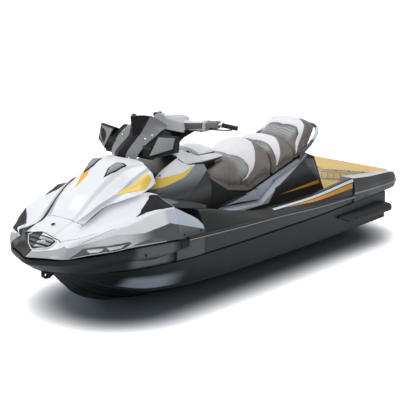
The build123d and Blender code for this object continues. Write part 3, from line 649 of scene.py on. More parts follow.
# Port rows of the bow, from the cowl round to the prow: beside the hatch, hollow of the shelf, fender
# crown, cheek, eave on the bumper. Each corner is (forward of the stern, to port, above the keel).
bowRows = [
    [(2700, 345, 806), (2700, 425, 768), (2700, 503, 748), (2700, 540, 640), (2700, 549, 541)],
    [(2800, 333, 834), (2800, 412, 774), (2800, 502, 753), (2800, 530, 645), (2800, 538, 546)],
    [(2920, 296, 808), (2920, 388, 745), (2920, 487, 735), (2920, 513, 640), (2920, 518, 550)],
    [(3060, 231, 769), (3060, 340, 700), (3060, 460, 702), (3060, 484, 628), (3060, 487, 553)],
    [(3160, 204, 708), (3160, 302, 660), (3160, 427, 686), (3160, 452, 610), (3160, 447, 547)],
    [(3257, 184, 652), (3257, 275, 630), (3257, 378, 662), (3257, 401, 596), (3257, 398, 538)],
    [(3340, 178, 626), (3340, 245, 612), (3342, 322, 640), (3346, 344, 578), (3346, 338, 529)],
    [(3386, 178, 609), (3396, 216, 606), (3418, 262, 612), (3450, 266, 560), (3468, 245, 513)],
    [(3394, 164, 603), (3404, 178, 588), (3424, 186, 566), (3462, 184, 532), (3490, 172, 508)],
    [(3394, 112, 607), (3422, 106, 572), (3448, 100, 538), (3486, 100, 520), (3517, 100, 505)],
    [(3396, 0, 629), (3450, 0, 577), (3506, 0, 526), (3530, 0, 513), (3553, 0, 502)],
]
bowSkin = {"rows": 152, "radius": [0, 60, 20, 45, 0], "wall": 4.0, "mirrorRow": 10}


def bowGrid():
    # port rows run on to the mirrored starboard ones; the cubic goes along them by chord length
    rows = np.array(bowRows, float)
    loop = np.concatenate([rows, rows[-2::-1] * [1, -1, 1]])
    step = np.linalg.norm(np.diff(loop[:, 2:5].mean(axis=1), axis=0), axis=1)
    place = np.concatenate([[0], np.cumsum(step)])
    where = np.unique(np.concatenate([np.linspace(0, place[-1], bowSkin["rows"]), place]))
    return place, where, smoothRows(place, loop, where)


bowPlace, bowWhere, bowLines = bowGrid()


def bowPaint(look, layers):
    # row and column are counted on the surface: cheeks grey below the crown; painted shade darkens the
    # starboard side of the nose, in a wedge that runs back beside the hatch
    white, paleBlueShade, black, lampGrey, cowlGrey, valleyShadeGrey, cheekGrey = layers
    row, column = look.field("row"), look.field("column")
    middle = bowSkin["mirrorRow"]
    back = 2 * middle - row
    cheek = (column - 2.04).ease(0.0, 0.06)
    starboard = row.ease(middle - 0.01, middle + 0.01)
    # the wedge and the band are painted shade on the starboard side only
    limit = (column * 1.1 + 5.6).least(8.5 - column * 0.35)
    starboardShade = (back - limit).ease(0.0, 0.03) * starboard
    band = look.inside([(4.2, 2.0), (5.7, 1.05), (7.7, 1.9), (6.0, 2.35)], back, column, 0.03)
    starboardShade = starboardShade.most(band * starboard)
    s, y, h = look.axes()
    # the white runs down to a crease that dips beside the lamp and climbs again to the cowl
    crease = ((s - 2980) * 0.08).most((2980 - s) * 0.135).least((3180 - s) * 0.24 + 16)
    crease = crease.least((s - 2773) * 0.32 + 28) + 633
    below = (crease - h).ease(-1.5, 1.5) * cheek
    # the facet aft of the crease: a painted pale blue shade
    facet = (1 - s.ease(2775, 2815)) * cheek
    side = look.mix(s.ease(2880, 3150), cowlGrey, look.mix(s.ease(3240, 3420), lampGrey, cheekGrey))
    shown = look.mix(below, look.mix(facet, white, paleBlueShade), side)
    # a painted grey shade down the valley beside the hatch
    valleyShade = (1 - column.ease(0.0, 0.55)) * s.ease(2740, 2900) * (1 - s.ease(3150, 3300))
    return look.mix(starboardShade, look.mix(valleyShade * 0.75, shown, valleyShadeGrey), black)


def laySkin():
    lines, column = roundCorners(bowLines, bowSkin["radius"], 5, False, True)
    row = np.interp(bowWhere, bowPlace, np.arange(len(bowPlace)))
    look = painted("bowPaint", [shade(238, 240, 243), shade(200, 206, 216), shade(15, 16, 18),
                                shade(216, 218, 220), shade(76, 81, 86), shade(118, 124, 136),
                                shade(172, 175, 180)], 0.25, 0.34, 0.05, bowPaint,
                   Specular_IOR_Level=0.2)
    lay("bowSkin", slab(atPoints(lines), bowSkin["wall"]), "craft", look, (), 38,
        fields={"row": np.broadcast_to(row[:, None], column.shape), "column": column})


laySkin()

bumper = {"outer": [(2630, 575), (2900, 530), (3100, 482), (3300, 385), (3475, 250), (3565, 0)],
          "inner": [(2630, 533), (2880, 478), (3065, 425), (3240, 335), (3385, 220), (3450, 0)],
          "top": [525, 535, 540, 520, 503, 487], "foot": [470, 433, 450, 425, 400, 392],
          "keep": [0.8, 0.6, 0.45, 0.3, 0.22, 0.18], "lip": 30, "groove": 6, "grooveDepth": 0.97,
          "radius": [3, 8, 4, 4, 5, 3], "bolts": [(2690, 566, 488), (2980, 514, 482)]}


def bumperPaint(look, layers):
    # a painted reflection: paler below the lamps' aft ends
    black, scuffedAndSheen = layers
    s, y, h = look.axes()
    return look.mix(s.ease(2700, 2780) * (1 - s.ease(3000, 3080)) * h.ease(440, 470), black, scuffedAndSheen)


def layBumper():
    # upright sections square across it: top, lip with a shadow groove, undercut down to the foot
    out, into = np.array(bumper["outer"], float), np.array(bumper["inner"], float)
    top, foot, keep = (np.array(bumper[k], float) for k in ("top", "foot", "keep"))
    none, full = 0 * keep, 1 + 0 * keep
    share = np.stack([none, keep, bumper["grooveDepth"] * full, full, full, none], axis=1)
    lip = top - bumper["lip"]
    rise = np.stack([foot, foot, lip - bumper["groove"], lip, top, top], axis=1)
    place = into[:, None] + (out - into)[:, None] * share[..., None]
    port = np.concatenate([place, rise[..., None]], axis=-1)
    rows = np.concatenate([port, port[-2::-1] * [1, -1, 1]])
    fine = np.linspace(0, len(rows) - 1, (len(rows) - 1) * 5 + 1)
    index = np.clip(fine.astype(int), 0, len(rows) - 2)
    part = (fine - index)[:, None, None]
    rows = rows[index] * (1 - part) + rows[index + 1] * part
    blend = rows.copy()
    blend[1:-1] = (rows[:-2] + 2 * rows[1:-1] + rows[2:]) / 4
    ring = roundCorners(blend, bumper["radius"], 2)
    look = painted("bumperPaint", [shade(21, 23, 26), shade(90, 95, 99)], 0.06, 0.44, 0.1, bumperPaint,
                   Specular_IOR_Level=0.15)
    lay("bumperBand", ringLoft(atPoints(ring)), "craft", look, ("bow_bumper",), 24)
    spots = [(s, y * side, h, side) for s, y, h in bumper["bolts"] for side in (1, -1)]
    dots = [bolt(at(s, y, h), (0.25, side, -0.1), 9, 4) for s, y, h, side in spots]
    lay("bumperBolts", joined(dots), "craft", blackPlastic, (), 40)


layBumper()

hood = {"table": {
    2660: [(298, 868), (272, 930), (215, 968), (197, 976), (182, 992), (0, 1024)],
    2800: [(320, 834), (240, 900), (176, 950), (157, 960), (140, 990), (0, 1011)],
    2920: [(285, 808), (214, 852), (160, 893), (142, 903), (126, 937), (0, 952)],
    3060: [(222, 770), (193, 792), (146, 808), (128, 813), (112, 841), (0, 857)],
    3246: [(174, 652), (154, 668), (122, 674), (108, 675), (94, 691), (0, 700)],
    3313: [(178, 632), (140, 645), (110, 647), (98, 648), (84, 659), (0, 666)],
    3360: [(176, 615), (132, 624), (102, 626), (90, 627), (76, 637), (0, 644)],
    3396: [(174, 603), (122, 606), (94, 608), (82, 609), (68, 617), (0, 629)],
}, "radius": [3, 14, 12, 8, 9, 60], "wall": 12.0, "cut": ((3177, 642), (3246, 702)), "gap": 3.5}


def columnSpans(lines, where, first, last, count):
    # reads every column of a fine table at its own evenly spaced stations, from first to last
    share = np.linspace(0, 1, count)[:, None]
    s = first + share * (last - first)
    index = np.clip(np.searchsorted(where, s) - 1, 0, len(where) - 2)
    part = ((s - where[index]) / (where[index + 1] - where[index]))[..., None]
    column = np.arange(lines.shape[1])[None, :]
    yh = lines[index, column] * (1 - part) + lines[index + 1, column] * part
    return np.concatenate([s[..., None], yh], axis=-1)


def hoodPaint(look, layers):
    # a blue-grey line of painted shade swings out along each shoulder; starboard of the middle lie two gold
    # facets, and the underside wears a grey liner
    white, blueGreyShade, gold, liner = layers
    s, y, h = look.axes()
    off = y.size() - 222 + (s - 2860).most(0).power(2) * 0.00076
    # the shoulder line is a painted shade along the crease
    band = off.ease(-3, 1) * (1 - off.ease(10, 42)) * (1 - s.ease(3190, 3250))
    shown = look.mix(band * 0.9, white, blueGreyShade)
    fore = look.inside([(3060, 60), (2975, 98), (2905, 122), (2880, 86), (2962, 44)], s, y * -1, 3)
    aft = look.inside([(2850, 112), (2770, 150), (2700, 150), (2745, 112)], s, y * -1, 3)
    return look.mix(look.field("liner"), look.mix(fore.most(aft), shown, gold), liner)


def layHood():
    # half sections joined over the ridge; one sloping cut parts the lid from the nose
    where, lines = smoothTable(hood["table"], 200)
    lines, column = roundCorners(lines, hood["radius"], 5, False, True)
    (s0, h0), (s1, h1) = hood["cut"]
    look = painted("hoodPaint", [shade(238, 240, 243), shade(164, 171, 184), shade(232, 178, 50),
                                 shade(52, 54, 57)], 0.3, 0.34, 0.04, hoodPaint)
    edges = []
    for gap in (0, hood["gap"]):
        along = gap * math.hypot(s1 - s0, h1 - h0) / (h1 - h0)
        above = lines[..., 1] > (h0 + (where - s0 - along) * (h1 - h0) / (s1 - s0))[:, None]
        edges.append(where[len(where) - 1 - np.argmax(above[::-1], axis=0)])
    start, end = np.full_like(edges[0], where[0]), np.full_like(edges[0], where[-1])
    for name, body, first, last, count, stands in (
            ("hoodShell", "hatch", start, edges[0], 60, ("front_hatch",)),
            ("noseTop", "craft", edges[1], end, 22, ("nose_panel",))):
        port = columnSpans(lines, where, first, last, count)
        grid = np.concatenate([port, port[:, -2::-1] * [1, -1, 1]], axis=1)
        marks = np.broadcast_to(np.concatenate([column[0], column[0][-2::-1]]), grid.shape[:2])
        lay(name, slab(atPoints(grid), hood["wall"]), body, look, stands, 40,
            fields={"column": marks, "liner": np.repeat([0, 1], marks.size)})


layHood()

badge = {"centre": (3313, 0, 668), "axis": (0.32, 0, 0.95), "radius": 15.0, "high": 3.2, "rim": 14.5,
         "wire": 1.5}


def layBadge():
    # a bare domed disc in a bright rim
    centre, (ahead, _, up) = at(*badge["centre"]), badge["axis"]
    disc = bolt(centre, badge["axis"], badge["radius"], badge["high"], 28)
    lay("badgeSeat", disc, "craft", blackPlastic, (), 50)
    turn = np.linspace(0, 2 * math.pi, 32, endpoint=False)
    circle = np.stack([np.cos(turn) * up, np.sin(turn), -np.cos(turn) * ahead], axis=1)
    circle = circle * badge["rim"] / 1000
    lay("badgeRim", tube(centre + circle, badge["wire"], 8, True), "craft", alloy, (), 50)


layBadge()
print("bow laid")


class Sheet:
    # a surface kept as a grid of points, read between them with its outward normal
    def __init__(self, grid, lift=0.0):
        # columns are spread evenly along each row first
        step = np.linalg.norm(np.diff(grid, axis=1), axis=-1)
        along = np.concatenate([np.zeros((len(grid), 1)), np.cumsum(step, axis=1)], axis=1)
        share = along / along[:, -1:]
        even = np.linspace(0, 1, 141)
        grid = [[np.interp(even, row, line[:, k]) for k in range(3)] for row, line in zip(share, grid)]
        grid = np.moveaxis(np.array(grid), 1, 2)
        self.grid, self.lift = grid, lift
        normal = np.cross(np.gradient(grid, axis=0), np.gradient(grid, axis=1))
        normal /= np.maximum(np.linalg.norm(normal, axis=-1, keepdims=True), 1e-12)
        self.normal = normal if np.sum(normal[..., 2]) > 0 else -normal

    def find(self, corners):
        # the nearest grid place to each corner
        flat = self.grid.reshape(-1, 3)
        near = [np.argmin(np.sum((flat - spot) ** 2, axis=1)) for spot in atPoints(corners)]
        return np.stack(np.divmod(near, self.grid.shape[1]), axis=-1).astype(float)

    def read(self, place, proud=0.0):
        top = np.array(self.grid.shape[:2]) - 1.001
        place = np.clip(place, 0, top)
        low = place.astype(int)
        part = place - low
        u, v = part[..., :1], part[..., 1:]
        i, j = low[..., 0], low[..., 1]

        def blend(kept):
            near = kept[i, j] * (1 - v) + kept[i, j + 1] * v
            return near * (1 - u) + (kept[i + 1, j] * (1 - v) + kept[i + 1, j + 1] * v) * u

        return blend(self.grid) + blend(self.normal) * (np.asarray(proud)[..., None] + self.lift) / 1000

    def line(self, corners, proud):
        # points on the surface, each as far off it as the others
        return self.read(self.find(corners), np.full(len(corners), proud))


# Sections of a plate, as (share of the way in to its middle, height over the surface).
profiles = {
    "raised": [(0.97, -2), (0.5, -2), (0, -2), (0, 1.2), (0.02, 1.6), (0.3, 1.6), (0.65, 1.6), (0.97, 1.6)],
    "film": [(0.97, -1), (0.5, -1), (0, -1), (0, 0.7), (0.3, 0.7), (0.65, 0.7), (0.97, 0.7)],
    "dished": [(0.97, -3), (0.5, -3), (0, -3), (0, 2.5), (0.03, 4), (0.1, 4), (0.18, 1.4), (0.5, 1.0),
               (0.97, 1.0)],
    "domed": [(0.97, -3), (0.5, -3), (0, -3), (0, 2), (0.08, 5.5), (0.25, 8), (0.6, 10), (0.97, 10.5)],
    "ductAndBarShadow": [(0.97, -3), (0.6, -3), (0.3, -3), (0, -3), (0, 2), (0.03, 3.2), (0.08, 3.2)]
            + [(share, 1.4) for share in (0.13, 0.24, 0.36, 0.48, 0.6, 0.72, 0.84, 0.97)],
    "recess": [(0.97, -3), (0.5, -3), (0, -3), (0, 1.5), (0.3, 1.5), (0.97, 1.5)],
    "bar": [(0.95, -2), (0.5, -2), (0, -2), (0, 5), (0.12, 8), (0.5, 9), (0.95, 9)],
    "hump": [(0.97, -2), (0.5, -2), (0, -2), (0, 4), (0.12, 9), (0.4, 14), (0.7, 17), (0.97, 17.5)],
}


def plate(sheet, corners, profile="raised", steps=12, scale=1.0):
    # rings drawn from an outline towards its middle, each at its own share of the way and its own
    # height over the surface, so that a plate has two faces that both follow what it lies on
    place = sheet.find(corners)
    share = np.linspace(0, 1, steps, endpoint=False)[:, None]
    edge = np.concatenate([a + (b - a) * share for a, b in zip(place, np.roll(place, -1, axis=0))])
    middle = edge.mean(axis=0)
    edge = middle + (edge - middle) * scale
    rings = [(edge + (middle - edge) * t, high) for t, high in profiles[profile]]
    return ringLoft(np.array([sheet.read(ring, np.full(len(edge), high)) for ring, high in rings]))


def skinSheet():
    lines = roundCorners(bowLines, bowSkin["radius"], 5, False)
    rows = np.linspace(0, len(lines) - 1, 420)
    low = np.clip(rows.astype(int), 0, len(lines) - 2)
    part = (rows - low)[:, None, None]
    return Sheet(atPoints(lines[low] * (1 - part) + lines[low + 1] * part), bowSkin["wall"] + 0.3)


def hoodSheet():
    where, lines = smoothTable(hood["table"], 300)
    lines = roundCorners(lines, hood["radius"], 5, False)
    port = np.concatenate([np.broadcast_to(where[:, None, None], lines.shape[:2] + (1,)), lines], axis=-1)
    grid = np.concatenate([port, port[:, -2::-1] * [1, -1, 1]], axis=1)
    return Sheet(atPoints(grid), 0.8)


bowSheet, lidSheet = skinSheet(), hoodSheet()

# The black air duct between each fender's crown and the hatch.
ductAndBarShadow = [(2988, 434, 727), (2913, 449, 744), (2846, 483, 755), (2801, 496, 755), (2704, 498, 748),
        (2703, 354, 802), (2785, 354, 812), (2846, 386, 786)]
lay("sideDucts", both(plate(bowSheet, ductAndBarShadow, "ductAndBarShadow", 16)), "craft", blackPlastic, (), 30)

lamps = {
    "pod": [(3446, 266, 514), (3372, 329, 576), (3230, 418, 584), (3100, 477, 592), (3083, 483, 580),
            (3130, 460, 552), (3300, 376, 537)],
    "lenses": [[(3350, 344, 573), (3330, 356, 550), (3282, 388, 549), (3252, 408, 572)],
               [(3244, 411, 577), (3218, 426, 554), (3146, 458, 561), (3112, 473, 585), (3165, 450, 577)]],
    "brow": [(3440, 268, 517), (3372, 330, 530), (3300, 378, 540), (3215, 424, 545), (3130, 458, 552)],
    "browWire": ([0, 8, 39], [1.4, 3.4, 3.0]),
    "dart": [(3072, 486, 563), (2896, 524, 597), (2817, 540, 556)],
    "strip": [(3120, 462, 551), (3072, 484, 561), (2940, 512, 558), (2817, 540, 553), (2817, 540, 546),
              (3000, 500, 550)],
}


def lensPaint(look, layers):
    # clear above, shaded below, with upright bars moulded in
    clear, shaded = layers
    s, y, h = look.axes()
    bars = ((s * 0.09).fraction() - 0.5).size().ease(0.42, 0.5)
    return look.mix(((h - 546) / 40).ease(0.2, 0.9) * 0.7 + bars * 0.3, clear, shaded)


def stripPaint(look, layers):
    pale, tooth = layers
    return look.mix(((look.axes()[0] * 0.11).fraction() - 0.5).size().ease(0.3, 0.36), pale, tooth)


def layLamps():
    # a black pod with two lenses, a silver wire under them, and a grey dart and a toothed strip aft
    look = gelcoat("lampBlack", shade(34, 37, 39), 1.0, 0.2, 0.2)
    lay("lampPods", both(plate(bowSheet, lamps["pod"], "dished")), "craft", look,
        ("bow_lamps",), 30)
    look = painted("lensPaint", [shade(226, 230, 232), shade(120, 128, 132)], 1.0, 0.12, 0.04, lensPaint,
                   Specular_IOR_Level=0.8)
    lenses = joined([plate(bowSheet, lens, "domed") for lens in lamps["lenses"]])
    lay("lampLenses", both(lenses), "craft", look, (), 40)
    path = easyPath(bowSheet.line(lamps["brow"], 4.0), 40)
    wire = tube(path, np.interp(np.arange(40), *lamps["browWire"]), 8)
    lay("lampTrims", both(wire), "craft", silver, (), 40)
    look = gelcoat("dartGrey", shade(62, 64, 66), 0.5, 0.34, 0.1)
    lay("cheekDarts", both(plate(bowSheet, lamps["dart"], "raised", 16)), "craft", look,
        (), 30)
    look = painted("stripPaint", [shade(196, 199, 202), shade(92, 95, 98)], 0.4, 0.3, 0.05, stripPaint)
    lay("cheekStrips", both(plate(bowSheet, lamps["strip"])), "craft", look, (), 30)


layLamps()

vent = {
    "frame": [(3413, 0, 614), (3398, 98, 604), (3407, 127, 594), (3442, 94, 557), (3470, 46, 545),
              (3496, 0, 538)],
    "bars": [[(3420, 2, 607), (3403, 100, 598), (3412, 112, 586), (3436, 2, 594)],
             [(3446, 2, 585), (3420, 100, 578), (3432, 92, 566), (3460, 2, 573)],
             [(3469, 2, 565), (3444, 78, 556), (3454, 62, 549), (3484, 2, 552)]],
    "seam": [(3384, 0, 632), (3380, 50, 630), (3372, 112, 624), (3388, 150, 610), (3404, 168, 594)],
    "lines": [[(3400, 170, 606), (3330, 262, 632), (3235, 350, 657)],
              [(3378, 300, 597), (3280, 372, 650), (3165, 430, 702)]],
    "lineWire": ([0, 4, 24, 29], [0.6, 1.3, 1.3, 0.5]), "rimWire": 3.6, "seamWire": 2.4,
}


def ventPaint(look, layers):
    # the port arms are pale, the starboard ones lie in shade
    shaded, pale = layers
    return look.mix(look.axes()[1].ease(-2, 2), shaded, pale)


def layVent():
    # the nose's grille in its white rim, the seam above it and two fine lines along each shoulder
    frameLine = vent["frame"]
    well = frameLine + [(s, -y, h) for s, y, h in frameLine[-2:0:-1]]
    lay("ventWell", plate(bowSheet, well, "recess"), "craft", blackPlastic,
        ("nose_grille",), 30)
    look = painted("ventPaint", [shade(58, 60, 63), shade(158, 162, 167)], 0.4, 0.34, 0.08, ventPaint)
    bars = joined([plate(bowSheet, bar, "bar", 8) for bar in vent["bars"]])
    lay("ventBars", both(bars), "craft", look, (), 30)
    rim = bowSheet.line(frameLine[1:], 3.0)
    path = easyPath(np.concatenate([rim, rim[-2::-1] * [1, -1, 1]]), 90)
    lay("ventRim", tube(path, vent["rimWire"], 8), "craft", white, (), 50)
    line = bowSheet.line(vent["seam"], 1.0)
    path = easyPath(np.concatenate([line[::-1], line[1:] * [1, -1, 1]]), 60)
    lay("noseSeam", tube(path, vent["seamWire"], 8), "craft", blackPlastic, (), 50)
    lines = []
    for seam in vent["lines"]:
        fine = smoothRows([0, 1, 2], bowSheet.find(seam), np.linspace(0, 2, 30))
        wire = np.interp(np.arange(30), *vent["lineWire"])
        lines.append(tube(bowSheet.read(fine, np.full(30, 0.2)), wire, 6))
    lay("noseLines", both(joined(lines)), "craft", midGrey, (), 50)


layVent()

hoodTrim = {
    "facet": [(2974, 210, 827), (2771, 310, 849), (2684, 286, 896), (2693, 240, 938)],
    "scoop": [(2952, 96, 935), (2872, 66, 966), (2790, 74, 1002), (2776, 110, 998), (2780, 150, 984),
              (2870, 130, 952)],
}


def goldPaint(look, layers):
    # brightens towards the windshield
    deep, bright = layers
    s, y, h = look.axes()
    return look.mix((s * 0.004 + h * 0.01 - 19.6).ease(0.0, 1.2), deep, bright)


def layHoodTrim():
    look = painted("goldPaint", [shade(238, 196, 62), shade(248, 224, 116)], 0.6, 0.3, 0.06, goldPaint)
    lay("hoodGold", both(plate(lidSheet, hoodTrim["facet"], "film", 16)), "hatch", look,
        (), 40)
    scoop = hoodTrim["scoop"]
    lay("scoopSeats", both(plate(lidSheet, scoop)), "hatch", blackPlastic,
        ("hood_scoops",), 30)
    lay("scoopTops", both(plate(lidSheet, scoop, "hump", 12, 0.76)), "hatch", scoopGrey,
        (), 30)


layHoodTrim()
print("lamps, vent and scoops laid")

hullShape = {"table": {
    200: [(0, 0), (480, 170), (490, 385)], 700: [(0, 0), (495, 170), (520, 385)],
    1300: [(0, 0), (505, 170), (558, 385)], 2000: [(0, 0), (500, 170), (566, 385)],
    2500: [(0, 3), (465, 170), (555, 385)], 2800: [(0, 30), (395, 178), (515, 385)],
    3050: [(0, 105), (280, 232), (440, 385)], 3171: [(0, 180), (205, 282), (375, 385)],
    3256: [(0, 265), (130, 326), (300, 385)], 3366: [(0, 376), (40, 380), (150, 385)],
}, "proud": 4.0, "wall": 3.0, "crease": 0.42, "lip": ([200, 2800, 3200, 3366], [1.0, 1.0, 0.5, 0.1]),
    "strakes": (0.66, 0.34), "rise": 11.0, "tunnelEnd": 945.0, "tunnelHalf": 168.0,
    "radius": [0, 40, 8, 4, 6, 6, 4, 6, 6, 4, 6, 0]}


def hullPaint(look, layers):
    # near black below the chine; the bow's flank catches the light between crease and chine
    side, bottom, glow = layers
    column, s = look.field("column"), look.axes()[0]
    shown = look.mix(column.ease(1.95, 2.05), side, bottom)
    flank = s.ease(2560, 2800) * (1 - s.ease(2960, 3080))
    flank = flank * column.ease(0.7, 1.3) * (1 - column.ease(1.85, 1.98))
    return look.mix(flank, shown, glow)


def layHull():
    # a skin over the port side and bottom, then its mirror image: sheer, crease of the side, spray
    # lip on the chine, two strakes and an inner edge that stays clear of the tunnel
    where, lines = smoothTable(hullShape["table"], 90)
    keel, chine, sheer = lines[:, 0], lines[:, 1], lines[:, 2]
    out = np.array([1.0, -0.35])
    lip = np.interp(where, *hullShape["lip"])[:, None]
    end = hullShape["tunnelEnd"]
    inner = np.interp(where, [end, end + 70], [hullShape["tunnelHalf"], 0])
    share = (inner / np.maximum(chine[:, 0], 1))[:, None]

    def down(part):
        return keel + (chine - keel) * part

    crease = sheer + (chine - sheer) * hullShape["crease"]
    crease[:, 0] += 7 * lip[:, 0]
    columns = [sheer, crease, chine + [7, 16] * lip, chine + [9, 2] * lip, chine + [-16, -8] * lip]
    for part in hullShape["strakes"]:
        reach = np.maximum(part, share + 0.06)
        columns += [down(reach + 0.06), down(reach + 0.045) - [0, 1] * lip * hullShape["rise"], down(reach)]
    columns.append(down(share))
    grid = np.stack(columns, axis=1) + out * hullShape["proud"]
    line, column = roundCorners(grid, hullShape["radius"], 3, False, True)
    look = painted("hullPaint", [shade(15, 17, 20), shade(8, 9, 11), shade(138, 148, 158)],
                   0.08, 0.38, 0.12, hullPaint, Specular_IOR_Level=0.12)
    lay("hullSkin", both(slab(atSections(where, line), hullShape["wall"])), "craft", look,
        (), 34, fields={"column": column})


layHull()

sideShape = {"table": {
    690: [(440, 385), (520, 385), (530, 422), (530, 454), (524, 560), (516, 580), (474, 580)],
    1300: [(440, 385), (558, 385), (566, 452), (566, 484), (520, 522), (506, 534), (466, 534)],
    1690: [(440, 385), (563, 385), (577, 478), (577, 510), (514, 522), (496, 532), (454, 532)],
    2024: [(440, 385), (566, 385), (576, 488), (576, 520), (512, 566), (496, 582), (454, 582)],
    2352: [(440, 385), (560, 385), (571, 500), (571, 532), (512, 646), (496, 663), (454, 663)],
    2462: [(440, 385), (556, 385), (567, 503), (567, 535), (512, 664), (498, 680), (454, 680)],
}, "radius": [3, 6, 6, 10, 14, 10, 6]}

rail = {"path": {690: (530, 438), 1300: (566, 468), 1690: (577, 494), 2024: (576, 504),
                 2352: (571, 516), 2630: (558, 524)},
        "bead": [(-4, -16), (9, -15), (18, -9), (20, -3), (16, 0), (20, 3), (18, 9), (9, 15), (-4, 16)],
        "radius": [1, 5, 4, 2, 2, 2, 4, 5, 1]}


def sidePaint(look, layers):
    # a painted highlight as a bright line along the top edge aft, an orange stripe under it that widens
    # towards the stern
    black, bright, deep, orange = layers
    s, y, h = look.axes()
    column = look.field("column")
    # the painted highlight on the rounded top edge
    edge = column.ease(3.97, 4.0) * (1 - column.ease(4.75, 4.8)) * (1 - s.ease(1660, 1662))
    reach = column - 3.82 + ((1520 - s) * 0.0011).least(0.34)
    stripe = reach.ease(0, 0.01) * (1 - column.ease(3.86, 3.87))
    stripe = stripe * (1 - s.ease(1518, 1520)) * s.ease(700, 702)
    shown = look.mix(stripe, black, look.mix(s.ease(800, 1200), deep, orange))
    return look.mix(edge, shown, bright)


def railPaint(look, layers):
    # a pale insert between the two beads
    black, insert = layers
    column = look.field("column")
    return look.mix(column.ease(2.6, 2.9) * (1 - column.ease(4.1, 4.4)), black, insert)


def laySides():
    where, lines = smoothTable(sideShape["table"], 90)
    line, column = roundCorners(lines, sideShape["radius"], 4, True, True)
    look = painted("sidePaint", [shade(17, 19, 21), shade(228, 231, 235), shade(206, 142, 30),
                                 shade(222, 158, 44)], 0.2, 0.36, 0.08, sidePaint, Specular_IOR_Level=0.2)
    lay("sideDecks", both(ringLoft(atSections(where, line))), "craft", look,
        ("side_decks",), 34, fields={"column": column})
    where, lines = smoothTable({s: [corner] for s, corner in rail["path"].items()}, 90)
    line, column = roundCorners(lines + np.array(rail["bead"]), rail["radius"], 2, True, True)
    look = painted("railPaint", [shade(34, 36, 39), shade(168, 170, 173)], 0.1, 0.4, 0.1, railPaint,
                   Specular_IOR_Level=0.2)
    lay("rubRails", both(ringLoft(atSections(where, line))), "craft", look,
        ("rub_rails",), 40, fields={"column": column})


laySides()

cowl = {"table": {
    2440: [(440, 385), (556, 385), (567, 503), (567, 535), (553, 556), (540, 574), (454, 574)],
    2500: [(440, 385), (554, 385), (564, 505), (564, 537), (552, 596), (532, 632), (446, 632)],
    2600: [(436, 385), (548, 385), (558, 507), (558, 539), (542, 640), (515, 692), (434, 692)],
    2660: [(433, 385), (537, 385), (548, 509), (550, 541), (536, 660), (508, 726), (429, 726)],
    2706: [(430, 385), (530, 385), (541, 510), (546, 542), (534, 668), (504, 750), (428, 750)],
}, "radius": [3, 4, 5, 5, 18, 12, 8],
    "bolts": [((2500, 563, 560), (0.1, 1, 0.3)), ((2650, 549, 560), (0, 1, 0.1))]}


def cowlPaint(look, layers):
    # the bow's crease carries on over the cowl, dark below it
    silverTop, dark, grey = layers
    s, y, h = look.axes()
    low = ((s - 2773) * 0.32 + 661 - h).ease(-1.5, 1.5)
    return look.mix(low, silverTop, look.mix(h.ease(545, 610), dark, grey))


def layCowls():
    # silver arches behind the bow: a sharp crease runs down from the peak
    where, lines = smoothTable(cowl["table"], 40)
    line = roundCorners(lines, cowl["radius"], 4)
    look = painted("cowlPaint", [shade(192, 198, 208), shade(56, 60, 64), shade(88, 93, 98)],
                   0.3, 0.36, 0.06, cowlPaint, Specular_IOR_Level=0.3)
    lay("sideCowls", both(ringLoft(atSections(where, line))), "craft", look,
        ("side_cowls",), 28)
    heads = [bolt(at(*spot), axis, 7, 4) for spot, axis in cowl["bolts"]]
    lay("cowlBolts", both(joined(heads)), "craft", blackPlastic, (), 40)


layCowls()
print("hull and sides laid")

stern = {"table": {
    -15: [(398, 420), (440, 412), (459, 429), (452, 452), (440, 474), (398, 480)],
    14: [(398, 398), (462, 392), (474, 430), (470, 462), (452, 500), (398, 502)],
    60: [(398, 387), (479, 387), (488, 433), (483, 470), (460, 514), (398, 514)],
    300: [(398, 386), (502, 386), (512, 442), (506, 486), (486, 536), (398, 536)],
    500: [(398, 386), (521, 386), (533, 452), (527, 500), (512, 557), (398, 557)],
    689: [(398, 386), (531, 386), (541, 462), (536, 520), (522, 580), (398, 580)],
}, "radius": [4, 8, 7, 10, 7, 3],
    "bolts": [(80, 487, 414), (200, 496, 414), (330, 508, 414), (520, 527, 414)]}

sponson = {"table": {
    209: [(470, 232), (566, 238), (572, 262), (566, 290), (470, 296)],
    236: [(470, 232), (568, 238), (576, 266), (566, 302), (470, 312)],
    520: [(470, 234), (568, 240), (576, 268), (564, 306), (470, 320)],
    716: [(470, 236), (566, 244), (573, 272), (560, 312), (470, 326)],
    860: [(470, 292), (558, 292), (562, 305), (554, 318), (470, 329)],
    905: [(470, 308), (552, 308), (556, 313), (550, 320), (470, 326)],
}, "radius": [3, 6, 8, 6, 3], "bolts": (290, 420, 560, 690)}


def sternPaint(look, layers):
    # pale top, bright line on the ledge
    dark, pale, bright = layers
    column = look.field("column")
    line = column.ease(1.93, 1.95) * (1 - column.ease(2.09, 2.11))
    return look.mix(line, look.mix(column.ease(4.0, 4.02), dark, pale), bright)


def layStern():
    where, lines = smoothTable(stern["table"], 46)
    line, column = roundCorners(lines, stern["radius"], 3, True, True)
    look = painted("sternPaint", [shade(38, 41, 44), shade(210, 213, 216), shade(136, 140, 144)],
                   0.15, 0.38, 0.1, sternPaint, Specular_IOR_Level=0.2)
    lay("sternCorners", both(ringLoft(atSections(where, line))), "craft", look,
        ("stern_corners",), 30, fields={"column": column})
    heads = [bolt(at(*spot), (0, 1, -0.3), 7, 3.5) for spot in stern["bolts"]]
    lay("sternBolts", both(joined(heads)), "craft", blackPlastic, (), 40)
    where, lines = smoothTable(sponson["table"], 40)
    line = roundCorners(lines, sponson["radius"], 3)
    lay("sponsonPair", both(ringLoft(atSections(where, line))), "craft", charcoal,
        ("sponsons",), 26)
    heads = [bolt(at(s, 575, 267 + s * 0.004), (0, 1, 0), 7, 4) for s in sponson["bolts"]]
    lay("sponsonBolts", both(joined(heads)), "craft", blackPlastic, (), 40)


layStern()

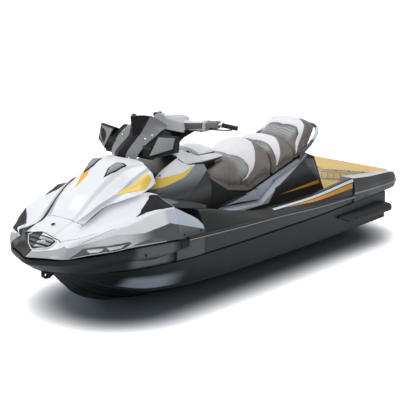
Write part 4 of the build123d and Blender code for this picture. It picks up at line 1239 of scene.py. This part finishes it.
teak = {"plank": 46.0, "seam": 3.2, "thick": 13.0, "tint": shade(232, 202, 138), "edge": shade(120, 96, 58),
        "upper": [(25, -390), (190, -390), (262, -222), (366, 0), (262, 222), (190, 390), (25, 390)],
        "lower": [(420, 0), (300, 240), (300, 380), (650, 380), (650, -380), (300, -380), (300, -240)],
        "well": [(720, 310), (2300, 300), (2300, 430), (720, 430)],
        "riser": ([(279, 226), (387, 4), (387, -4), (279, -226)], (446, 492))}


def matLook(name, across, tint):
    # foam planks: dark seams, each plank its own shade, closed-cell grain
    look = Look(name, tint, Specular_IOR_Level=0.3)
    step = look.axes()[across] / teak["plank"]
    seam = 1 - ((step.fraction() - 0.5).size() * 2 - (1 - teak["seam"] / teak["plank"])).ease(-0.02, 0.02)
    tone = ((step - step.fraction()) * 12.9898).wave() * 43.5453   # scatters neighbouring planks' shades
    grain = look.noise(26, 4.0, (0.4, 3, 3))
    tinted = look.mix(tone.fraction() * 0.35, tint, toned(tint, 0.86))
    tinted = look.mix(grain.ease(0.3, 0.7) * 0.3, tinted, toned(tint, 1.12))
    look.set("Base Color", look.mix(seam, teak["edge"], tinted))
    look.set("Roughness", grain * 0.1 + 0.72)
    look.bump(look.cells(1100) * 0.35 + seam, 0.5, 0.0012)
    return look.material


def layMats():
    # two levels, a strip in each footwell, and the riser's mat, which leans between the levels
    def plan(points, base):
        points = np.array(points, float)
        rise = (0, 0, (teak["thick"] - 0.5) / 1000)
        return prism(at(points[:, 0], points[:, 1], base + 0.5), (0, 0, 0), rise, 14)

    mats = [("upperMat", plan(teak["upper"], 505), matLook("teakPlanks", 0, teak["tint"]), ()),
            ("lowerMat", plan(teak["lower"], 425), matLook("teakRiser", 1, shade(226, 196, 130)), ()),
            ("wellMats", both(plan(teak["well"], 385)), matLook("teakWell", 1, shade(214, 186, 126)),
             ("deck_mats",))]
    for name, shape, look, stands in mats:
        lay(name, shape, "craft", look, stands, 30, 2.5)
    line, heights = teak["riser"]
    low, high = [atPoints([(s, y, h) for s, y in line]) for h in heights]
    rows = low + (high - low) * np.linspace(0, 1, 4)[:, None, None]
    lay("riserMat", slab(rows, -7), "craft", matLook("teakStep", 1, shade(252, 230, 176)),
        (), 30, 1.5)


layMats()


def platformPaint(look, layers):
    pale, dark = layers
    s, y, h = look.axes()
    return look.mix((1 - s.ease(20, 22)) + h.below(420), pale, dark)


finishes["rear_platform"] = painted("platformPaint", [shade(205, 208, 212), shade(56, 58, 61)],
                                    0.3, 0.4, 0.08, platformPaint)

seatBase = {
    "inside": [(1960, 400), (1960, 548), (1530, 520), (1325, 652), (960, 750), (838, 722), (700, 440),
               (700, 400)],
    "outside": [(1940, 400), (1940, 520), (1535, 500), (1320, 610), (980, 690), (870, 660), (740, 440),
                (740, 400)],
    "swoosh": [(1960, 556), (1745, 552), (1530, 530), (1330, 660), (980, 756), (945, 780), (1270, 694),
               (1600, 600), (1800, 590)],
    "stripe": [(1315, 534), (842, 563), (826, 533)],
}


def panelPaint(look, layers):
    # an orange stripe, and silver from the foot of the bend up to the rim
    black, deep, orange, silverTrim = layers
    s, y, h = look.axes()
    stripe = look.inside(seatBase["stripe"], s, h, 2)
    rim = ((1367 - s) * 0.368 + 592).least((1367 - s) * 1.1 + 592).most(496)
    trim = (h - rim).ease(-1.5, 1.5) * s.ease(972, 980)
    return look.mix(stripe, look.mix(trim, black, silverTrim), look.mix(s.ease(800, 1150), deep, orange))


def swooshPaint(look, layers):
    # a dark groove runs along the middle of the aft half; the fore part is dark below its upper edge
    silverAft, dark, grey = layers
    s, y, h = look.axes()
    middle = (1400 - s) * 0.235 + 634
    groove = (1 - (h - middle).size().ease(7.0, 9.0)) * (1 - s.ease(1360, 1380))
    upper = (h - middle).ease(-1, 1) * (1 - s.ease(1200, 1480))
    fore = (h + (s - 1747) * 0.154 - 583).ease(-1, 1) * s.ease(1530, 1550)
    return look.mix(groove.most(fore), look.mix(upper, silverAft, grey), dark)


def sideRings(outlines):
    # side-view outlines (forward, up), each at its own distance to port
    return np.array([[(s, y, h) for s, h in outline] for y, outline in outlines], float)


def laySeatBase():
    # side panels: flat facets between an inner and an outer outline, softened at every edge
    outside = seatBase["outside"]
    crown = [(s + (1400 - s) * 0.02, h) for s, h in outside]
    ring = roundCorners(sideRings([(244, seatBase["inside"]), (296, outside), (300, crown)]), 14, 3)
    look = painted("panelPaint", [shade(36, 39, 42), shade(206, 140, 28), shade(226, 172, 48),
                                  shade(176, 181, 191)], 0.2, 0.36, 0.1, panelPaint,
                   Specular_IOR_Level=0.25)
    lay("basePanels", both(ringLoft(atPoints(ring))), "craft", look,
        ("pedestal_panels",), 26)
    swoosh = np.array(seatBase["swoosh"], float)
    low = swoosh + (np.array([1400, 640]) - swoosh) * [0.0, 0.05]
    ring = roundCorners(sideRings([(244, swoosh), (262, swoosh), (268, low)]), 10, 3)
    look = painted("swooshPaint", [shade(178, 183, 194), shade(48, 51, 55), shade(128, 132, 140)],
                   0.3, 0.34, 0.06, swooshPaint)
    lay("seatSwoosh", both(ringLoft(atPoints(ring))), "craft", look, ("seat_trims",), 28)


laySeatBase()

console = {"table": {
    2050: [(250, 385), (257, 560), (258, 742), (216, 842), (150, 917), (0, 932)],
    2216: [(270, 385), (276, 560), (280, 744), (232, 852), (122, 952), (0, 962)],
    2380: [(278, 385), (285, 560), (290, 738), (254, 832), (160, 922), (0, 930)],
    2515: [(283, 385), (289, 560), (296, 728), (274, 802), (202, 882), (0, 892)],
    2640: [(286, 385), (291, 560), (297, 690), (286, 773), (192, 802), (0, 812)],
}, "radius": [0, 60, 22, 22, 26, 40], "wall": 4.0}


def consolePaint(look, layers):
    # white above a gold stripe that bends and rises aft, graphite below it, black at the aft end; a painted
    # shadow in black on the top's middle under the pod and bars
    white, graphite, gold, black, grey = layers
    s, y, h = look.axes()
    under = ((2329 - s) * 0.27).most((2329 - s) * 0.11) + 838
    over = ((2311 - s) * 0.155).most(0) + 866
    upper = (h - under).ease(-1, 1)
    stripe = upper * (1 - (h - over).ease(-1, 1)) * s.ease(2172, 2178)
    flank = look.mix(h.ease(745, 865), graphite, grey)
    shown = look.mix(upper, flank, look.mix(stripe, white, gold))
    dark = (715 + (2330 - s).most(0) * 0.45 - h).ease(-2, 2)
    # painted shadow: black on the top's middle, forward of the bars under the pod
    ductAndBarShadow = (y.size() * -1 + (s - 2250) * 0.22 + 120).ease(-2, 2) * s.ease(2240, 2244)
    return look.mix(dark.most(ductAndBarShadow), shown, black)


def layConsole():
    where, lines = smoothTable(console["table"], 50)
    ring = acrossMiddle(roundCorners(lines, console["radius"], 4, ring=False))
    look = painted("consolePaint", [shade(236, 238, 241), shade(42, 45, 49), shade(236, 202, 84),
                                    shade(12, 13, 15), shade(138, 144, 150)], 0.4, 0.32, 0.05, consolePaint,
                   Specular_IOR_Level=0.2)
    lay("consoleShell", slab(atSections(where, ring), console["wall"]), "craft", look, (), 30)


layConsole()
finishes["console"] = charcoal

cap = {
    "top": {2056: [(174, 888), (176, 896), (152, 930), (0, 950)],
            2140: [(172, 896), (173, 904), (146, 944), (0, 968)],
            2200: [(168, 906), (168, 914), (136, 956), (0, 978)],
            2232: [(156, 922), (155, 928), (126, 958), (0, 978)],
            2252: [(128, 944), (126, 948), (108, 962), (0, 972)]},
    "skirt": {1812: [(152, 890), (154, 894), (142, 902), (139, 898), (148, 890)],
              1900: [(166, 889), (170, 896), (146, 926), (138, 926), (160, 890)],
              2055: [(170, 887), (176, 896), (152, 932), (138, 934), (166, 889)]},
    "lid": {1862: [(120, 934), (120, 942), (66, 958), (0, 963)],
            1900: [(132, 934), (131, 948), (72, 970), (0, 977)],
            1960: [(134, 935), (133, 954), (76, 978), (0, 985)],
            2048: [(134, 936), (132, 950), (72, 972), (0, 978)]},
    "seal": [(2264, 136, 944), (2247, 154, 922), (2230, 165, 908), (2193, 176, 897), (2127, 178, 892),
             (2056, 178, 886), (1961, 171, 884), (1887, 166, 885), (1822, 156, 887)],
    "sealWire": ([0, 6, 30, 42, 49], [2, 4, 8, 7, 3]),
    "latch": [(1858, -26, 944), (1858, 26, 944), (1858, 22, 930), (1858, -22, 930)],
}


def layCap():
    # white cover over the console's top, a black seal under its edge, skirts that run aft outside the
    # storage tub, and the tub's lid with its latch
    where, lines = smoothTable(cap["top"], 30)
    ring = acrossMiddle(roundCorners(lines, [0, 5, 24, 60], 4, ring=False))
    lay("consoleCap", slab(atSections(where, ring), 5), "craft", white, (), 40)
    seal = tube(easyPath(atPoints(cap["seal"]), 50), np.interp(np.arange(50), *cap["sealWire"]), 8)
    lay("capSeal", both(seal), "craft", blackPlastic, (), 40)
    where, lines = smoothTable(cap["skirt"], 24)
    line = roundCorners(lines, [2, 3, 8, 4, 2], 3)
    lay("consoleSkirts", both(ringLoft(atSections(where, line))), "craft", white, (), 40)
    where, lines = smoothTable(cap["lid"], 26)
    ring = acrossMiddle(roundCorners(lines, [2, 14, 30, 40], 4, ring=False))
    lay("lidShell", ringLoft(atSections(where, ring)), "glovebox_cover", white,
        ("glovebox_lid",), 40)
    latch = prism(atPoints(cap["latch"]), (0, 0, 0), (-0.006, 0, 0), 5)
    lay("lidLatch", latch, "glovebox_cover", blackPlastic, (), 30)


layCap()
print("stern, mats and console laid")

# Lines up the sheet: the middle is (forward, height), the edge adds how far to port.
# Bolts are (row, share of the way out).
shield = {"middle": [(2738, 985), (2722, 1030), (2652, 1082), (2590, 1120), (2574, 1142), (2578, 1190),
                     (2587, 1240), (2592, 1272)],
          "edge": [(2664, 985, 112), (2652, 1030, 124), (2606, 1085, 138), (2556, 1122, 150),
                   (2498, 1152, 157), (2440, 1178, 158), (2392, 1186, 145), (2370, 1197, 138)],
          "peak": 40.0, "wall": 7.0, "bolts": ((4, 0.62), (22, 0.72), (27, 0.86))}


def shieldPaint(look, layers):
    # grey wings either side of a black band pinched at the waist
    black, grey = layers
    across, up = look.field("across").size(), look.axes()[2] - 1130
    width = (up * 0.0019).most(up * -0.0015) + 0.26
    return look.mix((across - width).ease(0, 0.015), black, grey)


def layShield():
    # a prow: two curved halves swept back from the middle line, the top edge arched on each half
    rise = np.linspace(0, 7, 50)
    middle = smoothRows(np.arange(8), np.array(shield["middle"], float), rise)
    edge = smoothRows(np.arange(8), np.array(shield["edge"], float), rise)
    across = np.linspace(-1, 1, 49)
    side = np.abs(across)
    s = middle[:, :1] + (edge[:, :1] - middle[:, :1]) * side
    arch = shield["peak"] * (rise / 7)[:, None] ** 5 * np.sin(math.pi * side ** 1.1) * (1 - 0.25 * side)
    h = middle[:, 1:] + (edge[:, 1:2] - middle[:, 1:]) * side + arch
    y = edge[:, 2:] * across * (1 + 0.06 * (1 - side))
    look = painted("shieldPaint", [shade(19, 19, 22), shade(132, 134, 136)], 0.06, 0.36, 0.08, shieldPaint,
                   Specular_IOR_Level=0.12)
    lay("shieldSheet", slab(at(s, y, h), shield["wall"]), "hatch", look,
        ("windshield",), 30, fields={"across": np.broadcast_to(across, s.shape)})
    sheet = Sheet(at(s, y, h), 2)
    sheet.normal = sheet.normal * np.sign(sheet.normal[..., :1])   # forwards all over
    spots = [sheet.read(np.array([row, (1 + out) * 70.0])) for row, out in shield["bolts"]]
    heads = [bolt(spot, (0.7, 0.6, 0.35), 8, 4, 12) for spot in spots]
    lay("shieldBolts", both(joined(heads)), "hatch", stainless, (), 40)


layShield()


def sideBlock(outlines, soften, steps=3):
    # straight-sided block between side-view outlines, its long edges rounded
    return ringLoft(atPoints(roundCorners(sideRings(outlines), soften, steps)))


mirror = {"inner": [(2640, 1030), (2530, 1165), (2470, 1140), (2540, 1010)],
          "outer": [(2552, 1059), (2520, 1173), (2484, 1165), (2496, 1060)],
          "from": 213, "to": 360, "plate": (218, 352), "proud": (0.004, 0, 0.003), "thick": 6.0}


def layMirrors():
    # tapered housings with a grey plate on each front face, cut back low down as it goes outboard
    inner, outer = np.array(mirror["inner"]), np.array(mirror["outer"])
    blocks = [(mirror["from"], inner), (mirror["to"], outer)]
    lay("mirrorShells", both(sideBlock(blocks, 12)), "hatch", blackPlastic,
        ("mirror_housings",), 30, 3)
    first, last = mirror["plate"]
    y = np.linspace(first, last, 9)[:, None]
    share = (y - mirror["from"]) / (mirror["to"] - mirror["from"])
    foot, top = [inner[k] + (outer[k] - inner[k]) * share for k in (0, 1)]
    low = foot + (top - foot) * (0.03 + 0.22 * (y - first) / (last - first))
    high = foot + (top - foot) * 0.88
    up = np.linspace(0, 1, 7)[:, None]
    face = low[:, None] + (high - low)[:, None] * up
    grid = at(face[..., 0], y, face[..., 1]) + mirror["proud"]
    lay("mirrorPlates", both(slab(grid, -mirror["thick"])), "hatch", midGrey, (), 30, 1.5)


layMirrors()

pod = {"outline": [(2628, 1012), (2614, 1085), (2436, 1176), (2404, 1148), (2450, 1040), (2600, 1000)],
       "half": 213, "screen": [(2409, -86, 1136), (2409, 86, 1136), (2436, 78, 1066), (2436, -78, 1066)],
       "bezel": [(2406, -96, 1142), (2406, 96, 1142), (2436, 88, 1056), (2436, -88, 1056)], "wire": 4.5}


def layPod():
    # instrument pod: side outline carried across, with a hooded screen facing aft
    half = pod["half"]
    shell = sideBlock([(-half, pod["outline"]), (half, pod["outline"])], 16, 4)
    lay("podShell", shell, "hatch", blackPlastic, ("instrument_pod",), 30, 4)
    out = np.array([-0.0035, 0, -0.001])
    screen = prism(roundCorners(atPoints(pod["screen"]), 0.014, 4), out, out * -1.2)
    look = gelcoat("screenGlass", shade(34, 42, 50), 1.0, 0.12, 0.2)
    lay("podScreen", screen, "hatch", look, (), 30)
    bezel = roundCorners(atPoints(pod["bezel"]), 0.02, 4)
    lay("podBezel", tube(bezel, pod["wire"], 8, True), "hatch", charcoal, (), 50)


layPod()

bar = {"end": (1934, 390, 1142), "bend": (1998, 282, 1166), "grip": 16.2, "rib": 1.0,
       "flange": ([101, 102, 106, 107], [20, 24, 24, 19]),
       "inboard": [(2096, 1118), (2096, 1178), (2040, 1190), (2040, 1128)],
       "outboard": [(2030, 1134), (2030, 1184), (1984, 1192), (1984, 1140)], "housing": (205, 286),
       "clamp": [(196, 1.1), (198, 1.16), (222, 1.16), (224, 1.1)],
       "buttons": [(2008, 266, 1186.5), (2028, 246, 1185)]}


def layBars():
    # ribbed grips, switch housings in pale clamps, and buttons
    tip, lead = at(*bar["end"]), at(*bar["bend"]) - at(*bar["end"])
    lead = lead / np.linalg.norm(lead)

    def sleeve(stations, radii):
        return tube(tip + lead * (np.array(stations, float) / 1000)[:, None], radii, 20)

    reach = np.arange(0, 102, 2.0)
    ribs = bar["grip"] + bar["rib"] * (np.sin(reach * 0.9) > 0) * (reach > 12) * (reach < 92)
    stations, radii = [-6, -5.5, -1, 0, *(reach + 2)], [12, 18.5, 19.5, 17, *ribs]
    grip = sleeve(stations, radii)
    lay("gripPair", both(joined([grip, sleeve(*bar["flange"])])), "steering", rubber,
        ("grips",), 25)
    inboard, outboard = np.array(bar["inboard"]), np.array(bar["outboard"])
    first, last = bar["housing"]
    block = sideBlock([(first, inboard), (last, outboard)], 9)
    lay("switchHousings", both(block), "steering", midGrey, ("switch_housings",), 30, 3)

    def ringAt(y, grow):
        corner = inboard + (outboard - inboard) * (y - first) / (last - first)
        middle = corner.mean(axis=0)
        return y, middle + (corner - middle) * grow

    band = sideBlock([ringAt(*row) for row in bar["clamp"]], 10)
    lay("switchClamps", both(band), "steering", paleGrey, (), 30)
    buttons = [bolt(at(*spot), (-0.35, 0.1, 1), 8, 5, 16) for spot in bar["buttons"]]
    lay("switchButtons", both(joined(buttons)), "steering", blackPlastic, (), 40)


layBars()

cover = {
    "pad": {2068: [(60, 1166), (66, 1198), (40, 1209), (0, 1211)],
            2130: [(96, 1142), (92, 1192), (52, 1212), (0, 1216)],
            2190: [(132, 1120), (114, 1188), (62, 1216), (0, 1222)],
            2250: [(98, 1134), (88, 1208), (46, 1232), (0, 1237)],
            2300: [(60, 1150), (58, 1230), (30, 1247), (0, 1251)]},
    "arm": [[(2196, 100, 1122), (2186, 100, 1186), (2126, 92, 1198), (2112, 92, 1140)],
            [(2160, 160, 1124), (2150, 160, 1182), (2100, 152, 1190), (2086, 152, 1134)],
            [(2104, 212, 1118), (2102, 212, 1180), (2044, 206, 1190), (2040, 206, 1128)]],
    "shroud": {1134: (2146, 62, 196), 1104: (2160, 58, 150), 1070: (2182, 54, 104), 1030: (2206, 50, 80),
               985: (2232, 46, 70)},
}


def armPaint(look, layers):
    # dark sides under a pale top, with a bright line low down
    dark, pale = layers
    s, y, h = look.axes()
    line = 1 - (h - 1136).size().ease(3.0, 4.0)
    return look.mix(h.ease(1181, 1184).most(line * y.size().ease(150, 152)), dark, pale)


def layCover():
    # the bar's pale cover, its faceted arms out to the housings, and the shroud round the stem, whose
    # rows are height: (middle forward, half depth, half width)
    where, lines = smoothTable(cover["pad"], 24)
    ring = acrossMiddle(roundCorners(lines, [0, 14, 10, 14], 4, ring=False))
    lay("barCover", ringLoft(atSections(where, ring)), "steering", paleGrey,
        ("handlebar_pad",), 26, 3)
    arm = roundCorners(smoothRows([0, 1, 2], cover["arm"], np.linspace(0, 2, 14)), 9, 3)
    look = painted("armPaint", [shade(74, 76, 78), shade(212, 214, 216)], 0.2, 0.4, 0.08, armPaint)
    lay("coverArms", both(ringLoft(atPoints(arm))), "steering", look, (), 28)
    where, lines = smoothTable({h: [row] for h, row in cover["shroud"].items()}, 20)
    turn = np.linspace(0, 2 * math.pi, 28, endpoint=False)
    middle, deep, wide = np.moveaxis(lines[:, 0], -1, 0)[..., None]
    shroud = ringLoft(at(middle + deep * np.cos(turn), wide * np.sin(turn), where[:, None]))
    lay("stemShroud", shroud, "steering", blackPlastic, (), 40)


layCover()

lever = {"path": [(2062, 250, 1142), (2040, 290, 1136), (2002, 350, 1134), (1990, 378, 1136),
                  (1994, 388, 1140)], "radii": ([0, 0.15, 0.9, 1], [7, 5.2, 4.6, 6.2])}


def layLevers():
    # thin at the middle, thicker at the pivot and the tip
    path = easyPath(atPoints(lever["path"]), 26)
    pair = both(tube(path, np.interp(np.linspace(0, 1, len(path)), *lever["radii"]), 10))
    lay("leverPair", pair, "steering", blackPlastic, ("control_levers",), 40)


layLevers()

grab = {"path": [(1036, 262, 752), (1012, 268, 792), (930, 268, 842), (857, 256, 881), (790, 236, 915),
                 (752, 200, 946), (735, 140, 962), (730, 70, 962)], "radius": 13.5}


def grabPaint(look, layers):
    # pale on its outer turn, black where it joins the base
    black, pale = layers
    h = look.axes()[2]
    return look.mix(h.ease(878, 882) * (1 - h.ease(950, 954)), black, pale)


def layGrab():
    half = np.array(grab["path"], float)
    path = easyPath(atPoints(np.concatenate([half, half[::-1] * [1, -1, 1]])), 110)
    look = painted("grabPaint", [shade(32, 34, 36), shade(206, 210, 216)], 0.35, 0.35, 0.1, grabPaint)
    lay("grabHoop", tube(path, grab["radius"], 14), "craft", look, ("grab_rail",), 50)


layGrab()
print("cockpit laid")


# Each seat: its top at every station, how far its ends are rounded, and the white crescent's two edges
# as points (forward of the stern, to port, above the keel) on the port half.
seats = {
    "riderSeat": {
        "tops": {1334: 898, 1380: 934, 1440: 950, 1500: 944, 1600: 906, 1700: 884, 1790: 890, 1868: 916},
        "node": "seat_rider", "ends": (22, 10), "arms": {1850: 876, 1900: 868, 1960: 852, 2040: 836},
        "spread": 0.72, "voxel": 0.0075,
        "outer": [(1420, 0, 948), (1433, 111, 932), (1479, 187, 878), (1520, 221, 817), (1557, 234, 769),
                  (1597, 240, 733), (1645, 243, 702), (1676, 243, 693)],
        "inner": [(1730, 0, 882), (1697, 103, 872), (1639, 146, 863), (1605, 190, 835), (1595, 219, 794),
                  (1601, 232, 762), (1629, 237, 731), (1659, 240, 707), (1676, 243, 693)]},
    "middleSeat": {
        "tops": {1064: 894, 1110: 922, 1170: 936, 1240: 924, 1290: 906, 1326: 898},
        "node": "seat_middle", "ends": (20, 14),
        "outer": [(1130, 0, 932), (1141, 105, 929), (1197, 211, 894), (1224, 235, 836), (1261, 254, 771),
                  (1265, 250, 700)],
        "inner": [(1282, 0, 914), (1272, 84, 914), (1268, 161, 898), (1280, 227, 844), (1284, 248, 789),
                  (1285, 251, 746), (1265, 250, 700)]},
    "rearSeat": {
        "tops": {737: 1000, 800: 1016, 880: 980, 940: 936, 1000: 910, 1056: 894},
        "node": "seat_rear", "ends": (26, 14),
        "outer": [(792, 0, 1020), (804, 65, 1016), (855, 152, 974), (919, 201, 916), (1001, 238, 844),
                  (1046, 247, 778)],
        "inner": [(918, 0, 955), (909, 44, 960), (912, 121, 952), (932, 165, 920), (1000, 209, 877),
                  (1040, 240, 828), (1046, 247, 778)]},
}
stuffing = {
    "foot": ([735, 800, 880, 940, 1600, 1840, 2050], [965, 925, 850, 784, 600, 648, 780]),
    "waist": ([735, 770, 800, 880, 940], [0.66, 0.8, 0.88, 0.97, 1.0]), "half": 243.0, "power": 2.7,
    "inset": 9.0, "lift": 2.0, "voxel": 0.0065, "pressure": 4.0, "cap": 0.024, "frames": 20,
    "armInner": 138.0, "tubSide": 0.136, "tubEnd": 2046.0, "seam": 3.2, "fold": 5.0, "rib": 4.2,
    "ribs": (24, 48, 72, 96), "wave": (9.0, 5.0), "fill": 0.85,
}


def footAt(s):
    # height of the seats' flat underside
    return np.interp(s, *stuffing["foot"])


def seatBody(tops, ends):
    # superellipse sections over a flat foot, drawn in near both ends by the quarter circle of an edge
    keys = np.array(sorted(tops), float)
    s = np.linspace(keys[0], keys[-1], 40)
    top = smoothRows(keys, np.array([tops[k] for k in keys])[:, None], s)[:, 0] - stuffing["inset"]
    foot = footAt(s) + stuffing["lift"]
    half = np.interp(s, *stuffing["waist"]) * stuffing["half"]
    room = np.zeros_like(s)
    for end, radius in ((keys[0], ends[0]), (keys[-1], ends[1])):
        near = np.clip(1 - np.abs(s - end) / radius, 0, 1)
        room = np.maximum(room, radius * (1 - np.sqrt(1 - near ** 2)))
    angle = np.linspace(0, math.pi, 41)
    y = np.sign(np.cos(angle)) * np.abs(np.cos(angle)) ** (2 / stuffing["power"])
    z = np.abs(np.sin(angle)) ** (2 / stuffing["power"])
    across = (half - room)[:, None] * y * (0.955 + 0.045 * np.sin(z * math.pi))
    rise = foot[:, None] + (top - room - foot)[:, None] * z
    return ringLoft(at(s[:, None], across, rise))


def armBody(tops):
    # the rider seat's two arms lie beside the storage tub
    s = np.linspace(min(tops), max(tops), 16)
    keys = sorted(tops)
    top = np.interp(s, keys, [tops[k] for k in keys]) - stuffing["inset"]
    foot = footAt(s) + stuffing["lift"]
    inner, outer = stuffing["armInner"], stuffing["half"]
    corners = [(inner, foot), (outer - 5, foot), (outer, foot + (top - foot) * 0.45),
               (outer - 29, top - 36), (inner, top)]
    section = np.stack([np.stack([0 * s + y, h], axis=1) for y, h in corners], axis=1)
    return both(ringLoft(atSections(s, roundCorners(section, [3, 8, 60, 40, 12], 4))))


def evaluated(obj):
    graph = bpy.context.evaluated_depsgraph_get()
    return bpy.data.meshes.new_from_object(obj.evaluated_get(graph))


def numbers(rows, name):
    flat = np.empty(len(rows) * 3)
    rows.foreach_get(name, flat)
    return flat.reshape(-1, 3)


def places(mesh):
    return numbers(mesh.vertices, "co")


def normals(mesh):
    return numbers(mesh.vertex_normals, "vector")


def stuff(name, shape, span, voxel, clearOf=0.0):
    # remeshed, blown up as cloth, its travel capped, flat where it rests, then subdivided once
    mesh = bpy.data.meshes.new(name)
    mesh.from_pydata(shape[0].tolist(), [], shape[1])
    pad = bpy.data.objects.new(name, mesh)
    scene.collection.objects.link(pad)
    remesh = pad.modifiers.new("voxels", "REMESH")
    remesh.mode, remesh.voxel_size = "VOXEL", voxel * 1
    pad.data = evaluated(pad)
    pad.modifiers.clear()
    start = places(pad.data)
    cloth = pad.modifiers.new("cloth", "CLOTH")
    cloth.settings.use_pressure = True
    cloth.settings.uniform_pressure_force = stuffing["pressure"]
    cloth.settings.effector_weights.gravity = 0
    cloth.settings.quality = 5
    cloth.point_cache.frame_end = stuffing["frames"]
    for step in range(1, stuffing["frames"] + 1):
        scene.frame_set(step)
    moved = places(evaluated(pad))
    pad.modifiers.clear()
    scene.frame_set(1)
    travel = moved - start
    far = np.linalg.norm(travel, axis=1, keepdims=True)
    moved = start + travel * np.minimum(1, stuffing["cap"] / np.maximum(far, 1e-9))
    s, h = (start[:, 0] - tailX) * 1000, (start[:, 2] - keelZ) * 1000
    resting = h < footAt(s) + 14
    moved[resting] = start[resting]
    low, high = at([span[0], span[1]], 0, 0)[:, 0]
    moved[:, 0] = np.clip(moved[:, 0], low, high)
    moved[:, 2] = np.maximum(moved[:, 2], keelZ + (footAt((moved[:, 0] - tailX) * 1000) + 1) / 1000)
    if clearOf:
        # keeps out of the tub: the middle's front face stays behind it, the arms beside it
        tub = stuffing["tubSide"]
        middle = np.abs(start[:, 1]) < tub
        wall = at(clearOf, 0, 0)[0]
        moved[middle, 0] = np.minimum(moved[middle, 0], wall)
        arm = ~middle & (start[:, 0] > wall)
        side = np.sign(start[:, 1])
        moved[arm, 1] = (side * np.maximum(np.abs(moved[:, 1]), tub))[arm]
    pad.data.vertices.foreach_set("co", moved.ravel())
    finer = pad.modifiers.new("finer", "SUBSURF")
    finer.levels = finer.render_levels = 1
    done = evaluated(pad)
    bpy.data.objects.remove(pad)
    return done


def edgeCurve(points):
    # an edge drawn by points, read as stations against the angle from the crown to the foot
    points = np.array(points, float)
    lean = np.arctan2(points[:, 1], points[:, 2] - footAt(points[:, 0]))
    order = np.argsort(lean)
    return lambda turn: np.interp(turn, lean[order], points[order, 0])


def vinyl(name):
    # taupe vinyl, white crescents with dark piping, blue-grey ribbed inset with painted shade in the fold
    # at its edge, fine leather grain
    look = Look(name, shade(112, 106, 100), Coat_Weight=0.06, Specular_IOR_Level=0.45)
    white, ahead, lean = look.field("white"), look.field("ahead"), look.field("lean")
    s, y, h = look.axes()
    cloud = look.noise(7, 4.0).ease(0.3, 0.7)
    taupe = look.mix(cloud, shade(104, 98, 92), shade(118, 112, 105))
    foot = h - (s - 1600).size() * 0.24 - 590
    taupe = look.mix(foot.ease(0, 130), shade(82, 77, 72), taupe)
    inset = (1 - ahead.ease(70, 150)) * ahead.ease(-2, 2) * (1 - lean.ease(0.62, 0.95))
    shown = look.mix(inset * 0.85, taupe, shade(168, 172, 171))
    often, swing = stuffing["wave"]
    place = ahead + (lean * often).wave() * swing
    ribs = [1 - (place - rib).size().ease(1.4, 3.0) for rib in stuffing["ribs"]]
    ribs = functools.reduce(Link.most, ribs) * (1 - lean.ease(0.55, 0.8))
    shown = look.mix(ribs * 0.85, shown, shade(62, 72, 74))
    # painted shade in the fold where the inset meets the crescent
    foldShade = (1 - ahead.size().ease(4, 26)) * (1 - lean.ease(0.8, 1.0)) * ahead.above(0)
    shown = look.mix(foldShade * 0.8, shown, shade(58, 68, 70))
    crescent = look.mix(cloud, shade(232, 230, 233), shade(240, 239, 242))
    shown = look.mix(white.ease(-0.5, 0.5), shown, crescent)
    piping = 1 - white.size().ease(1.5, 2.6)
    shown = look.mix(piping * 0.75, shown, shade(78, 72, 68))
    look.set("Base Color", shown)
    grain = look.cells(420)
    look.set("Roughness", grain.ease(0.05, 0.5) * 0.08 + 0.44)
    creases = look.noise(30, 5.0, rough=0.6)
    look.bump(grain * 0.6 + creases * 0.8, 0.18, 0.0007)
    return look.material


seatVinyl = vinyl("seatVinyl")


def laySeat(name, plan):
    keys = sorted(plan["tops"])
    shape = seatBody(plan["tops"], plan["ends"])
    span = (keys[0] - 2, keys[-1] + 2)
    if "arms" in plan:
        shape = joined([shape, armBody(plan["arms"])])
        span = (keys[0] - 2, stuffing["tubEnd"])
    voxel = plan.get("voxel", stuffing["voxel"])
    mesh = stuff(name, shape, span, voxel, keys[-1] + 1 if "arms" in plan else 0.0)
    points, out = places(mesh), normals(mesh)
    s, y, h = (points[:, 0] - tailX) * 1000, np.abs(points[:, 1]) * 1000, (points[:, 2] - keelZ) * 1000
    lean = np.arctan2(y, h - footAt(s))
    outer, inner = edgeCurve(plan["outer"])(lean), edgeCurve(plan["inner"])(lean)
    # the underside is plain
    under = out[:, 2] < -0.3
    white = np.where(under, -50, np.minimum(inner - s, s - outer))
    ahead = np.where(under, -50, s - inner)
    lean = lean * plan.get("spread", 1.0)
    # sewn seams along the crescent, a deeper fold ahead of it, ribs pressed in beside that
    seam = stuffing["seam"] * np.exp(-(white / 4.5) ** 2)
    fold = stuffing["fold"] * np.exp(-((ahead - 5) / 9) ** 2) * (lean < 1.0)
    often, swing = stuffing["wave"]
    ribs = sum(np.exp(-((ahead + swing * np.sin(lean * often) - rib) / 5) ** 2) for rib in stuffing["ribs"])
    pressed = seam + fold + stuffing["rib"] * ribs * np.clip((0.72 - lean) / 0.15, 0, 1)
    pressed *= np.clip((h - footAt(s) - 10) / 20, 0, 1)
    points = points - out * (pressed / 1000)[:, None]
    mesh.vertices.foreach_set("co", points.ravel())
    for key, values in (("white", white), ("ahead", ahead), ("lean", lean)):
        mesh.attributes.new(key, "FLOAT", "POINT").data.foreach_set("value", values.astype(np.float32))
    mesh.materials.clear()
    mesh.materials.append(seatVinyl)
    mesh.shade_smooth()
    mesh.update()
    mesh.name = name
    piece = bpy.data.objects.new(name, mesh)
    scene.collection.objects.link(piece)
    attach(piece, "craft")
    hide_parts(plan["node"])
    print(name, len(mesh.polygons), "faces")


for name, plan in seats.items():
    laySeat(name, plan)

for node, look in finishes.items():
    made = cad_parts[node]
    made.data.materials.clear()
    made.data.materials.append(look)
